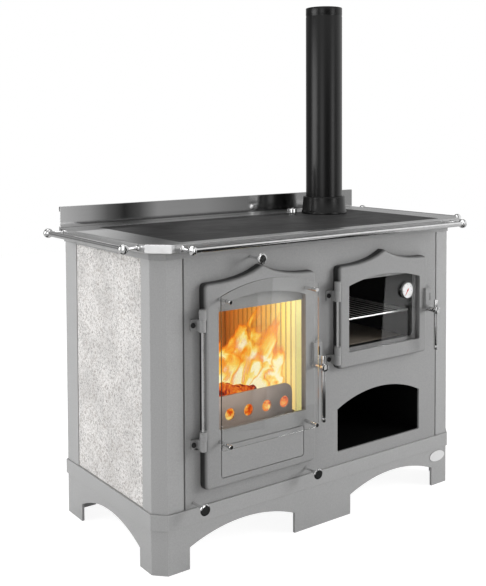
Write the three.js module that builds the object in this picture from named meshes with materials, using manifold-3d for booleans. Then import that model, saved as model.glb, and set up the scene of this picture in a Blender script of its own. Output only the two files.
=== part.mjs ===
// Wood cookstove: a painted steel body on an arched base, a hob with a towel rail round it,
// a glazed fire door on the left, a glazed oven door on the right and a wood store below the oven.
// Millimetres. x runs to the right, y to the back, z up from the floor. The body is built round
// x = 0 and y = 0, and the whole stove is then moved along y so that its box is centred.

import * as THREE from 'three';
import { mergeVertices } from 'three/addons/utils/BufferGeometryUtils.js';
import Module from 'manifold-3d';

const wasm = await Module();
wasm.setup();

// ---------------------------------------------------------------- driving dimensions

const gap = 0.3; // left between pieces that touch
const runningGap = 0.5; // round a shaft that turns in a hole
const past = 1; // how far a cutting shape runs beyond the face that it cuts

const body = { width: 1126, depth: 513, bottom: 160, chamfer: 31 };
const skirt = { height: 118, wall: 8, spring: 58, peak: 93, footWidth: 67.5, middleFoot: 217 };
const skirtSide = { spring: 50, peak: 92, frontFoot: 60, rearFoot: 89 };
const band = { proud: 4, wall: 10, deck: 8 };
const post = { face: 49, side: 43, rearSide: 70, rearFace: 60, sheet: 4, lip: 14, groove: 5 };
const panel = { thickness: 6 };
const rearPanel = { thickness: 3, sideGap: 4, slotRows: 2, slotCount: 11, slotWidth: 9, slotHeight: 70 };
const stone = { thickness: 30, recess: 1, bevel: 2.5 };
const topFrame = { height: 20.7, proud: 3, width: 34 };

const hob = { top: 860, thickness: 23.3, chamfer: 48.7, edge: 1.6 };
const hobOver = { side: 25, front: 39, rear: -10.5 }; // how far it reaches beyond the body
const plate = { thickness: 10, ledge: 11, corner: 10 };
const plateBorder = { side: 98, front: 33.5, rear: 59 };
const splash = { height: 61.5, depth: 10, sheet: 2, hem: 14 };
const rail = { radius: 8, reach: 44, capRadius: 13.5, capLength: 15, stemRadius: 4.5 };
const railFoot = { radius: 8.5, thickness: 3 };
const railInset = { front: 75, sideFront: 73.5, sideRear: 15 }; // from the hob's edges to the caps

const flue = { x: 334, y: 108, radius: 61, wall: 2, height: 693 };
const collar = { height: 58, footWall: 15, footHeight: 9, topWall: 8.5, edge: 1.5 };
const collarLedge = { width: 5, height: 10 };
const damper = { fromFlue: 124, y: 130, knobRadius: 15.5, knobHeight: 20, edge: 1.5, neck: 3, spindle: 5 };
const flap = { length: 110, height: 56, thickness: 3, drop: 2 };

const door = { proud: 28, standOff: 0.7, roundWidth: 11, roundDepth: 15, corner: 15, rebate: 19 };
const fireDoor = { centre: -240.5, half: 190.5, bottom: 205, shoulder: 748.5, peak: 782 };
const fireWindow = { half: 148.5, bottom: 359, spring: 686, peak: 709, corner: 5 };
const ovenDoor = { centre: 225.5, half: 186.5, bottom: 449, shoulder: 750.6, peak: 784 };
const ovenWindow = { half: 149.5, bottom: 495, spring: 690, peak: 712, corner: 5 };
const pane = { thickness: 4, margin: 10 };
const doorHollow = { wall: 15, floor: 7, rib: 8 };
const tray = { half: 143, bottom: 229, top: 318, recess: 4, slit: 2.2, corner: 9 };
const outerGlass = { half: 165.5, bottom: 317, spring: 719, peak: 751, corner: 9 };
const outerGlassSheet = { ahead: 64, thickness: 4 };
const pin = { half: 147, top: 705, bottom: 329, radius: 5, tip: 80, headRadius: 6, headLength: 7 };

const hinge = { fromDoor: 10.5, ahead: 30, rod: 4.1, barrel: 9, leaf: 6, leafReach: 20 };
const hingeScrew = { inset: 7, radius: 5, proud: 2.5 };
const ear = { radius: 9.5, inset: 12, front: 27, rear: 14 };
const fireHinge = { upper: [626.5, 656, 684.5], lower: [316, 341, 366] };
const ovenHinge = { upper: [651, 680, 707.5], lower: [467, 493, 519] };
const latch = { fromEdge: 14, inset: 2, width: 17, height: 62, proud: 9, root: 6 };
const boss = { radius: 10, proud: 12, boreEnd: 12 };
const strike = { offset: 5, width: 22, proud: 22, slope: 8.8 };
const strikeSlot = { width: 13, border: 18.5, floor: 6 };
const grip = { ahead: 72, radius: 6, spindle: 5, collar: 8, above: 33 };
const gripHub = { radius: 11.5, rear: 66, front: 82 };
const fireGrip = { z: 485, below: 155 };
const ovenGrip = { z: 588, below: 122 };

const fireMouth = { half: 160, bottom: 325, top: 666 };
const ashMouth = { half: 132, bottom: 224, top: 298 };
const ovenMouth = { half: 151, bottom: 500, top: 698, corner: 12 };
const niche = { centre: 230, half: 174, bottom: 198, spring: 325, peak: 364.6, corner: 5 };

const firebox = { half: 170, front: 42, rearSpace: 123, floor: 318, topSpace: 26, sheet: 4 };
const lining = { thickness: 25, height: 372, pitch: 22.5, bulge: 2.6, foot: 18 };
const grate = { side: 190, thickness: 14, ledge: 10, slots: 9, slotWidth: 8, border: 14 };
const baffle = { thickness: 16, front: 150 };
const retainer = { half: 157, top: 422, thickness: 4, corner: 30, ahead: 47, holes: 5, holePitch: 64 };
const retainerHole = { radius: 16.5, height: 369 };
const ashBox = { half: 146, depth: 320 };
const ashDrawer = { half: 128, height: 66, depth: 290, wall: 2.5, front: 10.5, setBack: 1 };
const ashPull = { half: 25, below: 12, height: 21, depth: 4 };
const oven = { half: 161, bottom: 488, top: 710, rearSpace: 83, sheet: 3 };
const runner = { width: 6, height: 3, inset: 30 };
const shelf = { z: 575, wire: 3, thinWire: 2, inset: 26, rearSpace: 38, bays: 13 };
const woodStore = { sheet: 3, margin: 6, rearSpace: 37 };

const thermometer = { x: 322, z: 651, radius: 25.5, depth: 10, bezel: 2.6, edge: 1, dialDepth: 2.4 };
const thermometerStem = { radius: 3, length: 24 };
const needle = { length: 17, tail: 6, width: 2.6, tipWidth: 0.8, thickness: 1, hub: 2.6, angle: 215 };
const knob = { stem: 3.5, travel: 30, stopRadius: 7, stopLength: 5 };
// Radius of a knob at each distance from the panel.
const knobProfile = [
  [3.5, 17],
  [4.6, 35],
  [7.4, 46],
  [14.5, 53],
  [15.5, 54],
  [15.5, 56.5],
  [13.5, 58],
  [3.5, 58],
  [2.8, 60.5],
  [0, 60.5],
];
const knobPlaces = {
  air_knob_top: [-266, 803],
  air_knob_bottom_left: [-454, 174],
  air_knob_bottom_right: [-69, 179],
};
const badge = { x: 489, z: 92.6, halfWidth: 34, halfHeight: 17, thickness: 2 };

// ---------------------------------------------------------------- places worked out from them

const half = body.width / 2;
const frontFace = -body.depth / 2;
const rearFace = body.depth / 2;
const ahead = (distance) => frontFace - distance; // y of a plane in front of the body's face
const behind = (distance) => frontFace + distance;
const panelHalf = half - body.chamfer - post.face - post.groove;
const panelBack = behind(panel.thickness + gap);
const stoneFront = behind(body.chamfer + post.side + gap);
const stoneRear = rearFace - post.rearSide - gap;
const hobUnder = hob.top - hob.thickness;
const bodyTop = hobUnder - topFrame.height;
const hobHalf = half + hobOver.side;
const hobFront = frontFace - hobOver.front;
const hobRear = rearFace + hobOver.rear;
const plateHalf = hobHalf - plateBorder.side;
const plateFront = hobFront + plateBorder.front;
const plateRear = hobRear - plateBorder.rear;
const plateUnder = hob.top - gap - plate.thickness;
const railAxis = hob.top - hob.thickness / 2;
const collarBore = flue.radius + runningGap;

// ---------------------------------------------------------------- making and joining solids

// A closed geometry as a solid. Its shared points are merged and its faces turned outwards.
function solid(geometry) {
  const bare = new THREE.BufferGeometry();
  bare.setAttribute('position', geometry.getAttribute('position').clone());
  if (geometry.index) bare.setIndex(geometry.index.clone());
  const merged = mergeVertices(bare, 1e-4);
  const points = merged.getAttribute('position').array;
  const corners = [];
  let volume = 0;
  const at = (i) => new THREE.Vector3().fromArray(points, 3 * i);
  for (let i = 0; i < merged.index.count; i += 3) {
    const [a, b, c] = [merged.index.getX(i), merged.index.getX(i + 1), merged.index.getX(i + 2)];
    if (a === b || b === c || c === a) continue;
    corners.push(a, b, c);
    volume += at(a).dot(at(b).cross(at(c)));
  }
  if (volume < 0) corners.reverse();
  const vertProperties = new Float32Array(points);
  const triVerts = new Uint32Array(corners);
  return new wasm.Manifold(new wasm.Mesh({ numProp: 3, vertProperties, triVerts }));
}

// A solid as a geometry again.
function geometryOf(manifold) {
  const mesh = manifold.getMesh();
  const geometry = new THREE.BufferGeometry();
  const points = new Float32Array(mesh.vertProperties);
  geometry.setAttribute('position', new THREE.BufferAttribute(points, 3));
  geometry.setIndex(new THREE.BufferAttribute(new Uint32Array(mesh.triVerts), 1));
  return geometry;
}

function cut(geometry, ...tools) {
  return geometryOf(tools.reduce((whole, tool) => whole.subtract(solid(tool)), solid(geometry)));
}

function join(geometry, ...others) {
  return geometryOf(others.reduce((whole, other) => whole.add(solid(other)), solid(geometry)));
}

function common(geometry, other) {
  return geometryOf(solid(geometry).intersect(solid(other)));
}

// The tightest convex solid round all the given ones.
function hull(...geometries) {
  return geometryOf(wasm.Manifold.hull(geometries.map(solid)));
}

// A box between two opposite corners.
function block([x0, y0, z0], [x1, y1, z1]) {
  const geometry = new THREE.BoxGeometry(Math.abs(x1 - x0), Math.abs(y1 - y0), Math.abs(z1 - z0));
  return geometry.translate((x0 + x1) / 2, (y0 + y1) / 2, (z0 + z1) / 2);
}

// An outline drawn in x and y, raised from z0 to z1.
function raise(shape, z0, z1, curveSegments = 10) {
  const options = { depth: z1 - z0, bevelEnabled: false, curveSegments };
  return new THREE.ExtrudeGeometry(shape, options).translate(0, 0, z0);
}

// An outline drawn in x and z, taken from the plane y = rear forwards to y = front.
function upright(shape, rear, front, curveSegments = 10) {
  const options = { depth: rear - front, bevelEnabled: false, curveSegments };
  return new THREE.ExtrudeGeometry(shape, options).rotateX(Math.PI / 2).translate(0, rear, 0);
}

// An outline drawn in y and z, taken from x0 to x1.
function sideways(shape, x0, x1, curveSegments = 10) {
  const options = { depth: x1 - x0, bevelEnabled: false, curveSegments };
  const turn = new THREE.Matrix4().makeBasis(
    new THREE.Vector3(0, 1, 0),
    new THREE.Vector3(0, 0, 1),
    new THREE.Vector3(1, 0, 0)
  );
  return new THREE.ExtrudeGeometry(shape, options).applyMatrix4(turn).translate(x0, 0, 0);
}

// A cylinder whose axis runs along x, y or z between two values of that coordinate.
function bar(axis, [u, v], from, to, radius, sides = 16) {
  const geometry = new THREE.CylinderGeometry(radius, radius, to - from, sides);
  const middle = (from + to) / 2;
  if (axis === 'x') return geometry.rotateZ(Math.PI / 2).translate(middle, u, v);
  if (axis === 'y') return geometry.translate(u, middle, v);
  return geometry.rotateX(Math.PI / 2).translate(u, v, middle);
}

// A profile of [radius, height] pairs turned round the upright axis at (x, y).
function turned(profile, [x, y, z], sides = 32) {
  const points = profile.map(([radius, height]) => new THREE.Vector2(radius, height));
  const geometry = new THREE.LatheGeometry(points, sides).rotateX(Math.PI / 2);
  return geometryOf(solid(geometry.translate(x, y, z)));
}

// The same profile turned round an axis that runs straight out of the front, from y.
function turnedForwards(profile, [x, y, z], sides = 24) {
  const points = profile.map(([radius, distance]) => new THREE.Vector2(radius, -distance));
  return geometryOf(solid(new THREE.LatheGeometry(points, sides).translate(x, y, z)));
}

// ---------------------------------------------------------------- outlines

function polygon(points) {
  return new THREE.Shape(points.map(([x, y]) => new THREE.Vector2(x, y)));
}

function rectangle(x0, x1, y0, y1, corner = 0) {
  if (corner === 0) return polygon([[x0, y0], [x1, y0], [x1, y1], [x0, y1]]);
  const shape = new THREE.Shape();
  shape.absarc(x1 - corner, y0 + corner, corner, -Math.PI / 2, 0);
  shape.absarc(x1 - corner, y1 - corner, corner, 0, Math.PI / 2);
  shape.absarc(x0 + corner, y1 - corner, corner, Math.PI / 2, Math.PI);
  shape.absarc(x0 + corner, y0 + corner, corner, Math.PI, 1.5 * Math.PI);
  return shape;
}

// The body's plan, grown by a margin: cut off at the two front corners, square at the rear.
function bodyPlan(margin) {
  const x = half + margin;
  const front = frontFace - margin;
  const rear = rearFace + margin;
  const chamfer = body.chamfer + margin * (2 - Math.SQRT2);
  return polygon([
    [-x + chamfer, front],
    [x - chamfer, front],
    [x, front + chamfer],
    [x, rear],
    [-x, rear],
    [-x, front + chamfer],
  ]);
}

// An opening with upright sides and a round arch that rises from spring to peak.
function arch({ centre, half: halfSpan, bottom, spring, peak, corner = 0 }) {
  const rise = peak - spring;
  const radius = (halfSpan * halfSpan + rise * rise) / (2 * rise);
  const start = Math.atan2(spring - peak + radius, halfSpan);
  const shape = new THREE.Shape();
  shape.moveTo(centre - halfSpan + corner, bottom);
  shape.lineTo(centre + halfSpan - corner, bottom);
  if (corner > 0) shape.quadraticCurveTo(centre + halfSpan, bottom, centre + halfSpan, bottom + corner);
  shape.absarc(centre, peak - radius, radius, start, Math.PI - start);
  if (corner > 0) {
    shape.lineTo(centre - halfSpan, bottom + corner);
    shape.quadraticCurveTo(centre - halfSpan, bottom, centre - halfSpan + corner, bottom);
  }
  return shape;
}

// A door's outline: the top edge sweeps up from each shoulder to a blunt point in the middle.
function doorOutline({ centre, half: h, bottom, shoulder, peak }) {
  const { corner } = door;
  const tip = h * 0.06;
  const tipDrop = (peak - shoulder) * 0.12;
  const sweep = h * 0.36;
  const shape = new THREE.Shape();
  shape.moveTo(centre - h + corner, bottom);
  shape.lineTo(centre + h - corner, bottom);
  shape.quadraticCurveTo(centre + h, bottom, centre + h, bottom + corner);
  shape.lineTo(centre + h, shoulder - corner);
  shape.quadraticCurveTo(centre + h, shoulder, centre + h - corner, shoulder);
  shape.quadraticCurveTo(centre + sweep, shoulder, centre + tip, peak - tipDrop);
  shape.quadraticCurveTo(centre, peak + tipDrop, centre - tip, peak - tipDrop);
  shape.quadraticCurveTo(centre - sweep, shoulder, centre - h + corner, shoulder);
  shape.quadraticCurveTo(centre - h, shoulder, centre - h, shoulder - corner);
  shape.lineTo(centre - h, bottom + corner);
  shape.quadraticCurveTo(centre - h, bottom, centre - h + corner, bottom);
  return shape;
}

// A folded sheet in plan: the given path is its outer face, its thickness lies to the right.
function foldedSheet(path, thickness) {
  const direction = ([ax, ay], [bx, by]) => {
    const length = Math.hypot(bx - ax, by - ay);
    return [(bx - ax) / length, (by - ay) / length];
  };
  const inner = path.map(([x, y], i) => {
    const before = direction(path[Math.max(i - 1, 0)], path[Math.max(i, 1)]);
    const after = direction(path[Math.min(i, path.length - 2)], path[Math.min(i + 1, path.length - 1)]);
    const normal = [before[1] + after[1], -before[0] - after[0]];
    const scale = thickness / (1 + before[0] * after[0] + before[1] * after[1]);
    return [x + normal[0] * scale, y + normal[1] * scale];
  });
  return [...path, ...inner.reverse()];
}

const mirrored = (points) => points.map(([x, y]) => [-x, y]);

// ---------------------------------------------------------------- finishes

function finish(color, roughness, metalness = 0, opacity = 1) {
  const transparent = opacity < 1;
  return new THREE.MeshStandardMaterial({ color, roughness, metalness, opacity, transparent });
}

const finishes = {
  paint: () => finish('#9c9c9e', 0.55, 0.1),
  darkPaint: () => finish('#1c1c1d', 0.6, 0.1),
  stone: () => finish('#cfccca', 0.85),
  stainless: () => finish('#b9bbbd', 0.3, 0.95),
  blackHob: () => finish('#2c2d2f', 0.25, 0.4),
  chrome: () => finish('#dcdde0', 0.1, 1),
  castIron: () => finish('#3a3836', 0.8, 0.4),
  refractory: () => finish('#c9a86a', 0.95),
  glass: () => finish('#d9e0e2', 0.04, 0, 0.25),
  dial: () => finish('#f2f1ee', 0.4),
  red: () => finish('#c8202c', 0.5),
  enamel: () => finish('#f4f4f4', 0.3),
};

// ---------------------------------------------------------------- the stove

const stove = new THREE.Group();

function add(name, geometry, makeFinish, parent = stove) {
  const mesh = new THREE.Mesh(geometry, makeFinish());
  mesh.name = name;
  parent.add(mesh);
  return mesh;
}

// ------ base

function frontSkirt() {
  const reach = body.chamfer;
  const seam = frontFace + reach;
  const path = [
    [half, seam],
    [half - reach, frontFace],
    [-half + reach, frontFace],
    [-half, seam],
  ];
  const bent = raise(polygon(foldedSheet(path, skirt.wall)), 0, skirt.height - gap);
  const keep = block([-half - past, ahead(past), -past], [half + past, seam, skirt.height]);
  const plates = common(bent, keep);
  const archHalf = (half - reach - skirt.footWidth - skirt.middleFoot / 2) / 2;
  const archCentre = skirt.middleFoot / 2 + archHalf;
  const archAt = (centre) => {
    const { spring, peak } = skirt;
    const outline = arch({ centre, half: archHalf, bottom: -past, spring, peak });
    return upright(outline, behind(3 * skirt.wall), ahead(skirt.wall));
  };
  return cut(plates, archAt(-archCentre), archAt(archCentre));
}

function surroundSkirt() {
  const start = frontFace + body.chamfer + gap;
  const path = [[-half, start], [-half, rearFace], [half, rearFace], [half, start]];
  const plates = raise(polygon(foldedSheet(path, skirt.wall)), 0, skirt.height - gap);
  const archFront = start - gap + skirtSide.frontFoot;
  const archRear = rearFace - skirtSide.rearFoot;
  const sideArch = arch({
    centre: (archFront + archRear) / 2,
    half: (archRear - archFront) / 2,
    bottom: -past,
    spring: skirtSide.spring,
    peak: skirtSide.peak,
  });
  const rearArch = arch({
    centre: 0,
    half: half - skirtSide.rearFoot,
    bottom: -past,
    spring: skirtSide.spring,
    peak: skirtSide.peak,
  });
  const through = half + skirt.wall;
  return cut(
    plates,
    sideways(sideArch, -through, through),
    upright(rearArch, rearFace + skirt.wall, rearFace - 3 * skirt.wall)
  );
}

// A tray turned upside down: its rim stands on the skirt and the body stands on its deck.
function baseBand() {
  const slab = raise(bodyPlan(band.proud), skirt.height, body.bottom);
  const hollow = raise(bodyPlan(-band.wall), skirt.height - band.wall, body.bottom - band.deck);
  return cut(slab, hollow);
}

add('base_front', frontSkirt(), finishes.paint);
add('base_surround', surroundSkirt(), finishes.paint);
add('base_band', baseBand(), finishes.paint);

// ------ body shell

// Each corner post is a folded sheet with a lip behind the panels that it holds.
function postPaths() {
  const lipX = -half + stone.recess + stone.thickness + gap;
  const grooveX = -panelHalf - post.groove;
  const front = [
    [-panelHalf + post.lip, panelBack],
    [grooveX, panelBack],
    [grooveX, frontFace],
    [-half + body.chamfer, frontFace],
    [-half, frontFace + body.chamfer],
    [-half, stoneFront - gap],
    [lipX, stoneFront - gap],
    [lipX, stoneFront - gap + post.lip],
  ];
  const rear = [
    [lipX, stoneRear + gap - post.lip],
    [lipX, stoneRear + gap],
    [-half, stoneRear + gap],
    [-half, rearFace],
    [-half + post.rearFace, rearFace],
  ];
  return { front, rear };
}

for (const [end, path] of Object.entries(postPaths())) {
  const outline = foldedSheet(path, post.sheet);
  for (const [side, points] of [['left', outline], ['right', mirrored(outline)]]) {
    const sheet = raise(polygon(points), body.bottom + gap, bodyTop);
    add(`post_${end}_${side}`, sheet, finishes.paint);
  }
}

function frontPanel() {
  const sheet = block(
    [-panelHalf, frontFace, body.bottom + gap],
    [panelHalf, behind(panel.thickness), bodyTop]
  );
  const opening = (shape) => upright(shape, behind(2 * panel.thickness), ahead(panel.thickness));
  const fire = fireDoor.centre;
  const baking = ovenDoor.centre;
  const openings = [
    rectangle(fire - fireMouth.half, fire + fireMouth.half, fireMouth.bottom, fireMouth.top),
    rectangle(fire - ashMouth.half, fire + ashMouth.half, ashMouth.bottom, ashMouth.top),
    rectangle(
      baking - ovenMouth.half,
      baking + ovenMouth.half,
      ovenMouth.bottom,
      ovenMouth.top,
      ovenMouth.corner
    ),
    arch(niche),
  ];
  const holes = Object.values(knobPlaces).map((place) =>
    bar('y', place, ahead(panel.thickness), behind(2 * panel.thickness), knob.stem + gap, 12)
  );
  return cut(sheet, ...openings.map(opening), ...holes);
}

// The back sheet lies inside the rear posts and has two rows of air slots.
function backSheet() {
  const x = half - post.sheet - rearPanel.sideGap;
  const rear = rearFace - post.sheet - gap;
  const front = rear - rearPanel.thickness;
  const sheet = block([-x, front, body.bottom + gap], [x, rear, bodyTop]);
  const pitch = (2 * (x - post.rearFace)) / rearPanel.slotCount;
  const rowPitch = (bodyTop - body.bottom) / (rearPanel.slotRows + 1);
  const slots = [];
  for (let row = 1; row <= rearPanel.slotRows; row += 1) {
    for (let column = 0; column < rearPanel.slotCount; column += 1) {
      const left = (column - (rearPanel.slotCount - 1) / 2) * pitch - rearPanel.slotWidth / 2;
      const low = body.bottom + row * rowPitch - rearPanel.slotHeight / 2;
      const right = left + rearPanel.slotWidth;
      slots.push(block([left, front - past, low], [right, rear + past, low + rearPanel.slotHeight]));
    }
  }
  return cut(sheet, ...slots);
}

// A side slab of stone, with the edges of its outer face taken off.
function stoneSlab(side) {
  const face = side * (half - stone.recess);
  const back = face - side * stone.thickness;
  const edge = face - side * stone.bevel;
  const low = body.bottom + gap;
  const inset = stone.bevel;
  return hull(
    block([back, stoneFront, low], [edge, stoneRear, bodyTop]),
    block([back, stoneFront + inset, low + inset], [face, stoneRear - inset, bodyTop - inset])
  );
}

function topRing() {
  const inner = rectangle(
    -half + topFrame.width,
    half - topFrame.width,
    frontFace + topFrame.width,
    rearFace - topFrame.width
  );
  const shape = bodyPlan(topFrame.proud);
  shape.holes.push(inner);
  return raise(shape, bodyTop + gap, bodyTop + topFrame.height - gap);
}

add('front_panel', frontPanel(), finishes.paint);
add('rear_panel', backSheet(), finishes.darkPaint);
add('stone_panel_left', stoneSlab(-1), finishes.stone);
add('stone_panel_right', stoneSlab(1), finishes.stone);
add('top_frame', topRing(), finishes.paint);

// ------ hob, splashback and rails

function hobFrame() {
  const { chamfer, edge } = hob;
  const x = hobHalf;
  const outline = polygon([
    [-x + chamfer, hobFront],
    [x - chamfer, hobFront],
    [x, hobFront + chamfer],
    [x, hobRear],
    [-x, hobRear],
    [-x, hobFront + chamfer],
  ]);
  const slab = new THREE.ExtrudeGeometry(outline, {
    depth: hob.thickness - 2 * edge,
    bevelThickness: edge,
    bevelSize: edge,
    bevelOffset: -edge,
    bevelSegments: 2,
  }).translate(0, 0, hobUnder + edge);
  const opening = (grow, corner) =>
    rectangle(-plateHalf - grow, plateHalf + grow, plateFront - grow, plateRear + grow, corner);
  const seat = opening(gap, plate.corner + gap);
  const well = opening(-plate.ledge);
  return cut(
    slab,
    raise(seat, plateUnder - gap, hob.top + past, 4),
    raise(well, hobUnder - past, hob.top)
  );
}

function hobPlate() {
  const shape = rectangle(-plateHalf, plateHalf, plateFront, plateRear, plate.corner);
  const slab = raise(shape, plateUnder, hob.top - gap, 4);
  const hole = (place, radius, sides) => bar('z', place, plateUnder - past, hob.top, radius, sides);
  const outlet = hole([flue.x, flue.y], flue.radius - flue.wall, 32);
  const spindleHole = hole([flue.x - damper.fromFlue, damper.y], damper.spindle + runningGap, 12);
  return cut(slab, outlet, spindleHole);
}

// A folded sheet that stands on the rear edge of the hob, hemmed at its top.
function splashback() {
  const low = hob.top + gap;
  const high = hob.top + splash.height;
  const front = hobRear - splash.depth;
  const path = [
    [hobRear, low],
    [front, low],
    [front, high],
    [hobRear, high],
    [hobRear, high - splash.hem],
  ];
  return sideways(polygon(foldedSheet(path, splash.sheet)), -hobHalf, hobHalf);
}

// A rail runs along x here, with its two feet reaching back along +y to the hob's edge.
function towelRail(length) {
  const capMiddle = length / 2 - rail.capLength / 2;
  const foot = rail.reach - gap;
  const pieces = [bar('x', [0, 0], -capMiddle, capMiddle, rail.radius, 16)];
  for (const side of [-1, 1]) {
    const x = side * capMiddle;
    const ends = [x - rail.capLength / 2, x + rail.capLength / 2];
    pieces.push(bar('x', [0, 0], ends[0], ends[1], rail.capRadius, 20));
    pieces.push(bar('y', [x, 0], 0, foot, rail.stemRadius, 12));
    pieces.push(bar('y', [x, 0], foot - railFoot.thickness, foot, railFoot.radius, 16));
  }
  return join(...pieces);
}

function placeRails() {
  const front = add('rail_front', towelRail(2 * (hobHalf - railInset.front)), finishes.chrome);
  front.position.set(0, hobFront - rail.reach, railAxis);
  const sideFront = hobFront + railInset.sideFront;
  const sideRear = hobRear - railInset.sideRear;
  for (const [name, side] of [['rail_left', -1], ['rail_right', 1]]) {
    const mesh = add(name, towelRail(sideRear - sideFront), finishes.chrome);
    mesh.rotation.z = (side * Math.PI) / 2;
    mesh.position.set(side * (hobHalf + rail.reach), (sideFront + sideRear) / 2, railAxis);
  }
}

add('hob_frame', hobFrame(), finishes.stainless);
add('hob_plate', hobPlate(), finishes.blackHob);
add('splashback', splashback(), finishes.stainless);
placeRails();

// ------ flue and damper

function flueCollar() {
  const { height, footHeight, edge } = collar;
  const footRadius = flue.radius + collar.footWall;
  const topRadius = flue.radius + collar.topWall;
  const ledge = flue.radius - collarLedge.width;
  const profile = [
    [ledge, 0],
    [footRadius, 0],
    [footRadius, footHeight],
    [footRadius - edge, footHeight + edge],
    [topRadius, height - edge],
    [topRadius - edge, height],
    [collarBore, height],
    [collarBore, collarLedge.height],
    [ledge, collarLedge.height],
    [ledge, 0],
  ];
  return turned(profile, [flue.x, flue.y, hob.top]);
}

function fluePipe() {
  const low = collarLedge.height + gap;
  const inner = flue.radius - flue.wall;
  const profile = [
    [inner, low],
    [flue.radius, low],
    [flue.radius, flue.height],
    [inner, flue.height],
    [inner, low],
  ];
  return turned(profile, [flue.x, flue.y, hob.top]);
}

// A knob on the hob turns a flap that hangs in the smoke way over the oven.
function damperValve() {
  const x = flue.x - damper.fromFlue;
  const { knobRadius, knobHeight, edge, neck } = damper;
  const profile = [
    [0, 0],
    [knobRadius - edge, 0],
    [knobRadius - edge, neck],
    [knobRadius, neck + edge],
    [knobRadius, knobHeight - edge],
    [knobRadius - edge, knobHeight],
    [0, knobHeight],
  ];
  const handle = turned(profile, [x, damper.y, hob.top], 24);
  const flapTop = hobUnder - flap.drop;
  const spindle = bar('z', [x, damper.y], flapTop - flap.height, hob.top + neck, damper.spindle, 12);
  const blade = block(
    [x - flap.thickness / 2, damper.y - flap.length / 2, flapTop - flap.height],
    [x + flap.thickness / 2, damper.y + flap.length / 2, flapTop]
  );
  return join(handle, spindle, blade);
}

add('flue_collar', flueCollar(), finishes.darkPaint);
add('flue_pipe', fluePipe(), finishes.darkPaint);
add('flue_damper', damperValve(), finishes.chrome);

// ------ firebox

const fireLeft = fireDoor.centre - firebox.half;
const fireRight = fireDoor.centre + firebox.half;
const fireBack = rearFace - firebox.rearSpace;
const fireTop = bodyTop - firebox.topSpace;
const shellHalf = firebox.half + lining.thickness + gap;
const grateMiddle = (behind(retainer.ahead) + fireBack) / 2;

function fireboxShell() {
  const x0 = fireDoor.centre - shellHalf;
  const x1 = fireDoor.centre + shellHalf;
  const back = fireBack + lining.thickness + gap;
  const s = firebox.sheet;
  const ashX0 = fireDoor.centre - ashBox.half;
  const ashX1 = fireDoor.centre + ashBox.half;
  const ashBack = panelBack + ashBox.depth;
  const floor = firebox.floor - s;
  const outer = block([x0 - s, panelBack, floor], [x1 + s, back + s, fireTop]);
  const inner = block([x0, panelBack - past, firebox.floor], [x1, back, fireTop + past]);
  const ashFloor = ashMouth.bottom;
  const ashOuter = block([ashX0 - s, panelBack, ashFloor - s], [ashX1 + s, ashBack + s, floor]);
  const ashInner = block([ashX0, panelBack - past, ashFloor], [ashX1, ashBack, floor]);
  const drop = grate.side / 2 - grate.ledge;
  const ashFall = block(
    [fireDoor.centre - drop, grateMiddle - drop, floor - past],
    [fireDoor.centre + drop, grateMiddle + drop, firebox.floor + past]
  );
  return cut(cut(join(outer, ashOuter), inner, ashInner), ashFall);
}

// One fluted face: reeds of even width along a slab of the given length.
function reededOutline(length, thickness) {
  const count = Math.round(length / lining.pitch);
  const pitch = length / count;
  const shape = new THREE.Shape();
  shape.moveTo(0, 0);
  shape.lineTo(length, 0);
  shape.lineTo(length, thickness - lining.bulge);
  for (let i = count; i > 0; i -= 1) {
    const middle = (i - 0.5) * pitch;
    shape.quadraticCurveTo(middle, thickness + lining.bulge, (i - 1) * pitch, thickness - lining.bulge);
  }
  return shape;
}

function linings() {
  const low = firebox.floor + gap;
  const high = low + lining.height;
  const sideLength = fireBack - behind(firebox.front) - gap;
  const side = reededOutline(sideLength, lining.thickness);
  const backHalf = shellHalf - gap;
  const back = reededOutline(2 * backHalf, lining.thickness);
  const place = (shape, turn, x, y) => raise(shape, low, high, 4).rotateZ(turn).translate(x, y, 0);
  const leftWall = place(side, -Math.PI / 2, fireLeft - lining.thickness, fireBack - gap);
  const rightWall = place(side, Math.PI / 2, fireRight + lining.thickness, behind(firebox.front));
  const backWall = place(back, Math.PI, fireDoor.centre + backHalf, fireBack + lining.thickness);
  add('lining_left', leftWall, finishes.refractory);
  add('lining_right', rightWall, finishes.refractory);
  add('lining_back', backWall, finishes.refractory);
}

// The hearth brick has a square well, and the grate lies in it over the hole in the floor.
function hearth() {
  const low = firebox.floor + gap;
  const front = behind(retainer.ahead) + gap;
  const square = (reach) =>
    rectangle(
      fireDoor.centre - reach,
      fireDoor.centre + reach,
      grateMiddle - reach,
      grateMiddle + reach
    );
  const shape = rectangle(fireLeft + gap, fireRight - gap, front, fireBack - gap - lining.bulge);
  shape.holes.push(square(grate.side / 2 + gap));
  add('hearth_brick', raise(shape, low, low + lining.foot), finishes.refractory);

  const high = low + grate.thickness;
  const inner = grate.side / 2 - grate.border;
  const pitch = (2 * inner) / grate.slots;
  const slots = [];
  for (let i = 0; i < grate.slots; i += 1) {
    const left = fireDoor.centre - inner + (i + 0.5) * pitch - grate.slotWidth / 2;
    const right = left + grate.slotWidth;
    const [front, rear] = [grateMiddle - inner, grateMiddle + inner];
    slots.push(block([left, front, low - past], [right, rear, high + past]));
  }
  add('fire_grate', cut(raise(square(grate.side / 2), low, high), ...slots), finishes.castIron);
}

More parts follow.
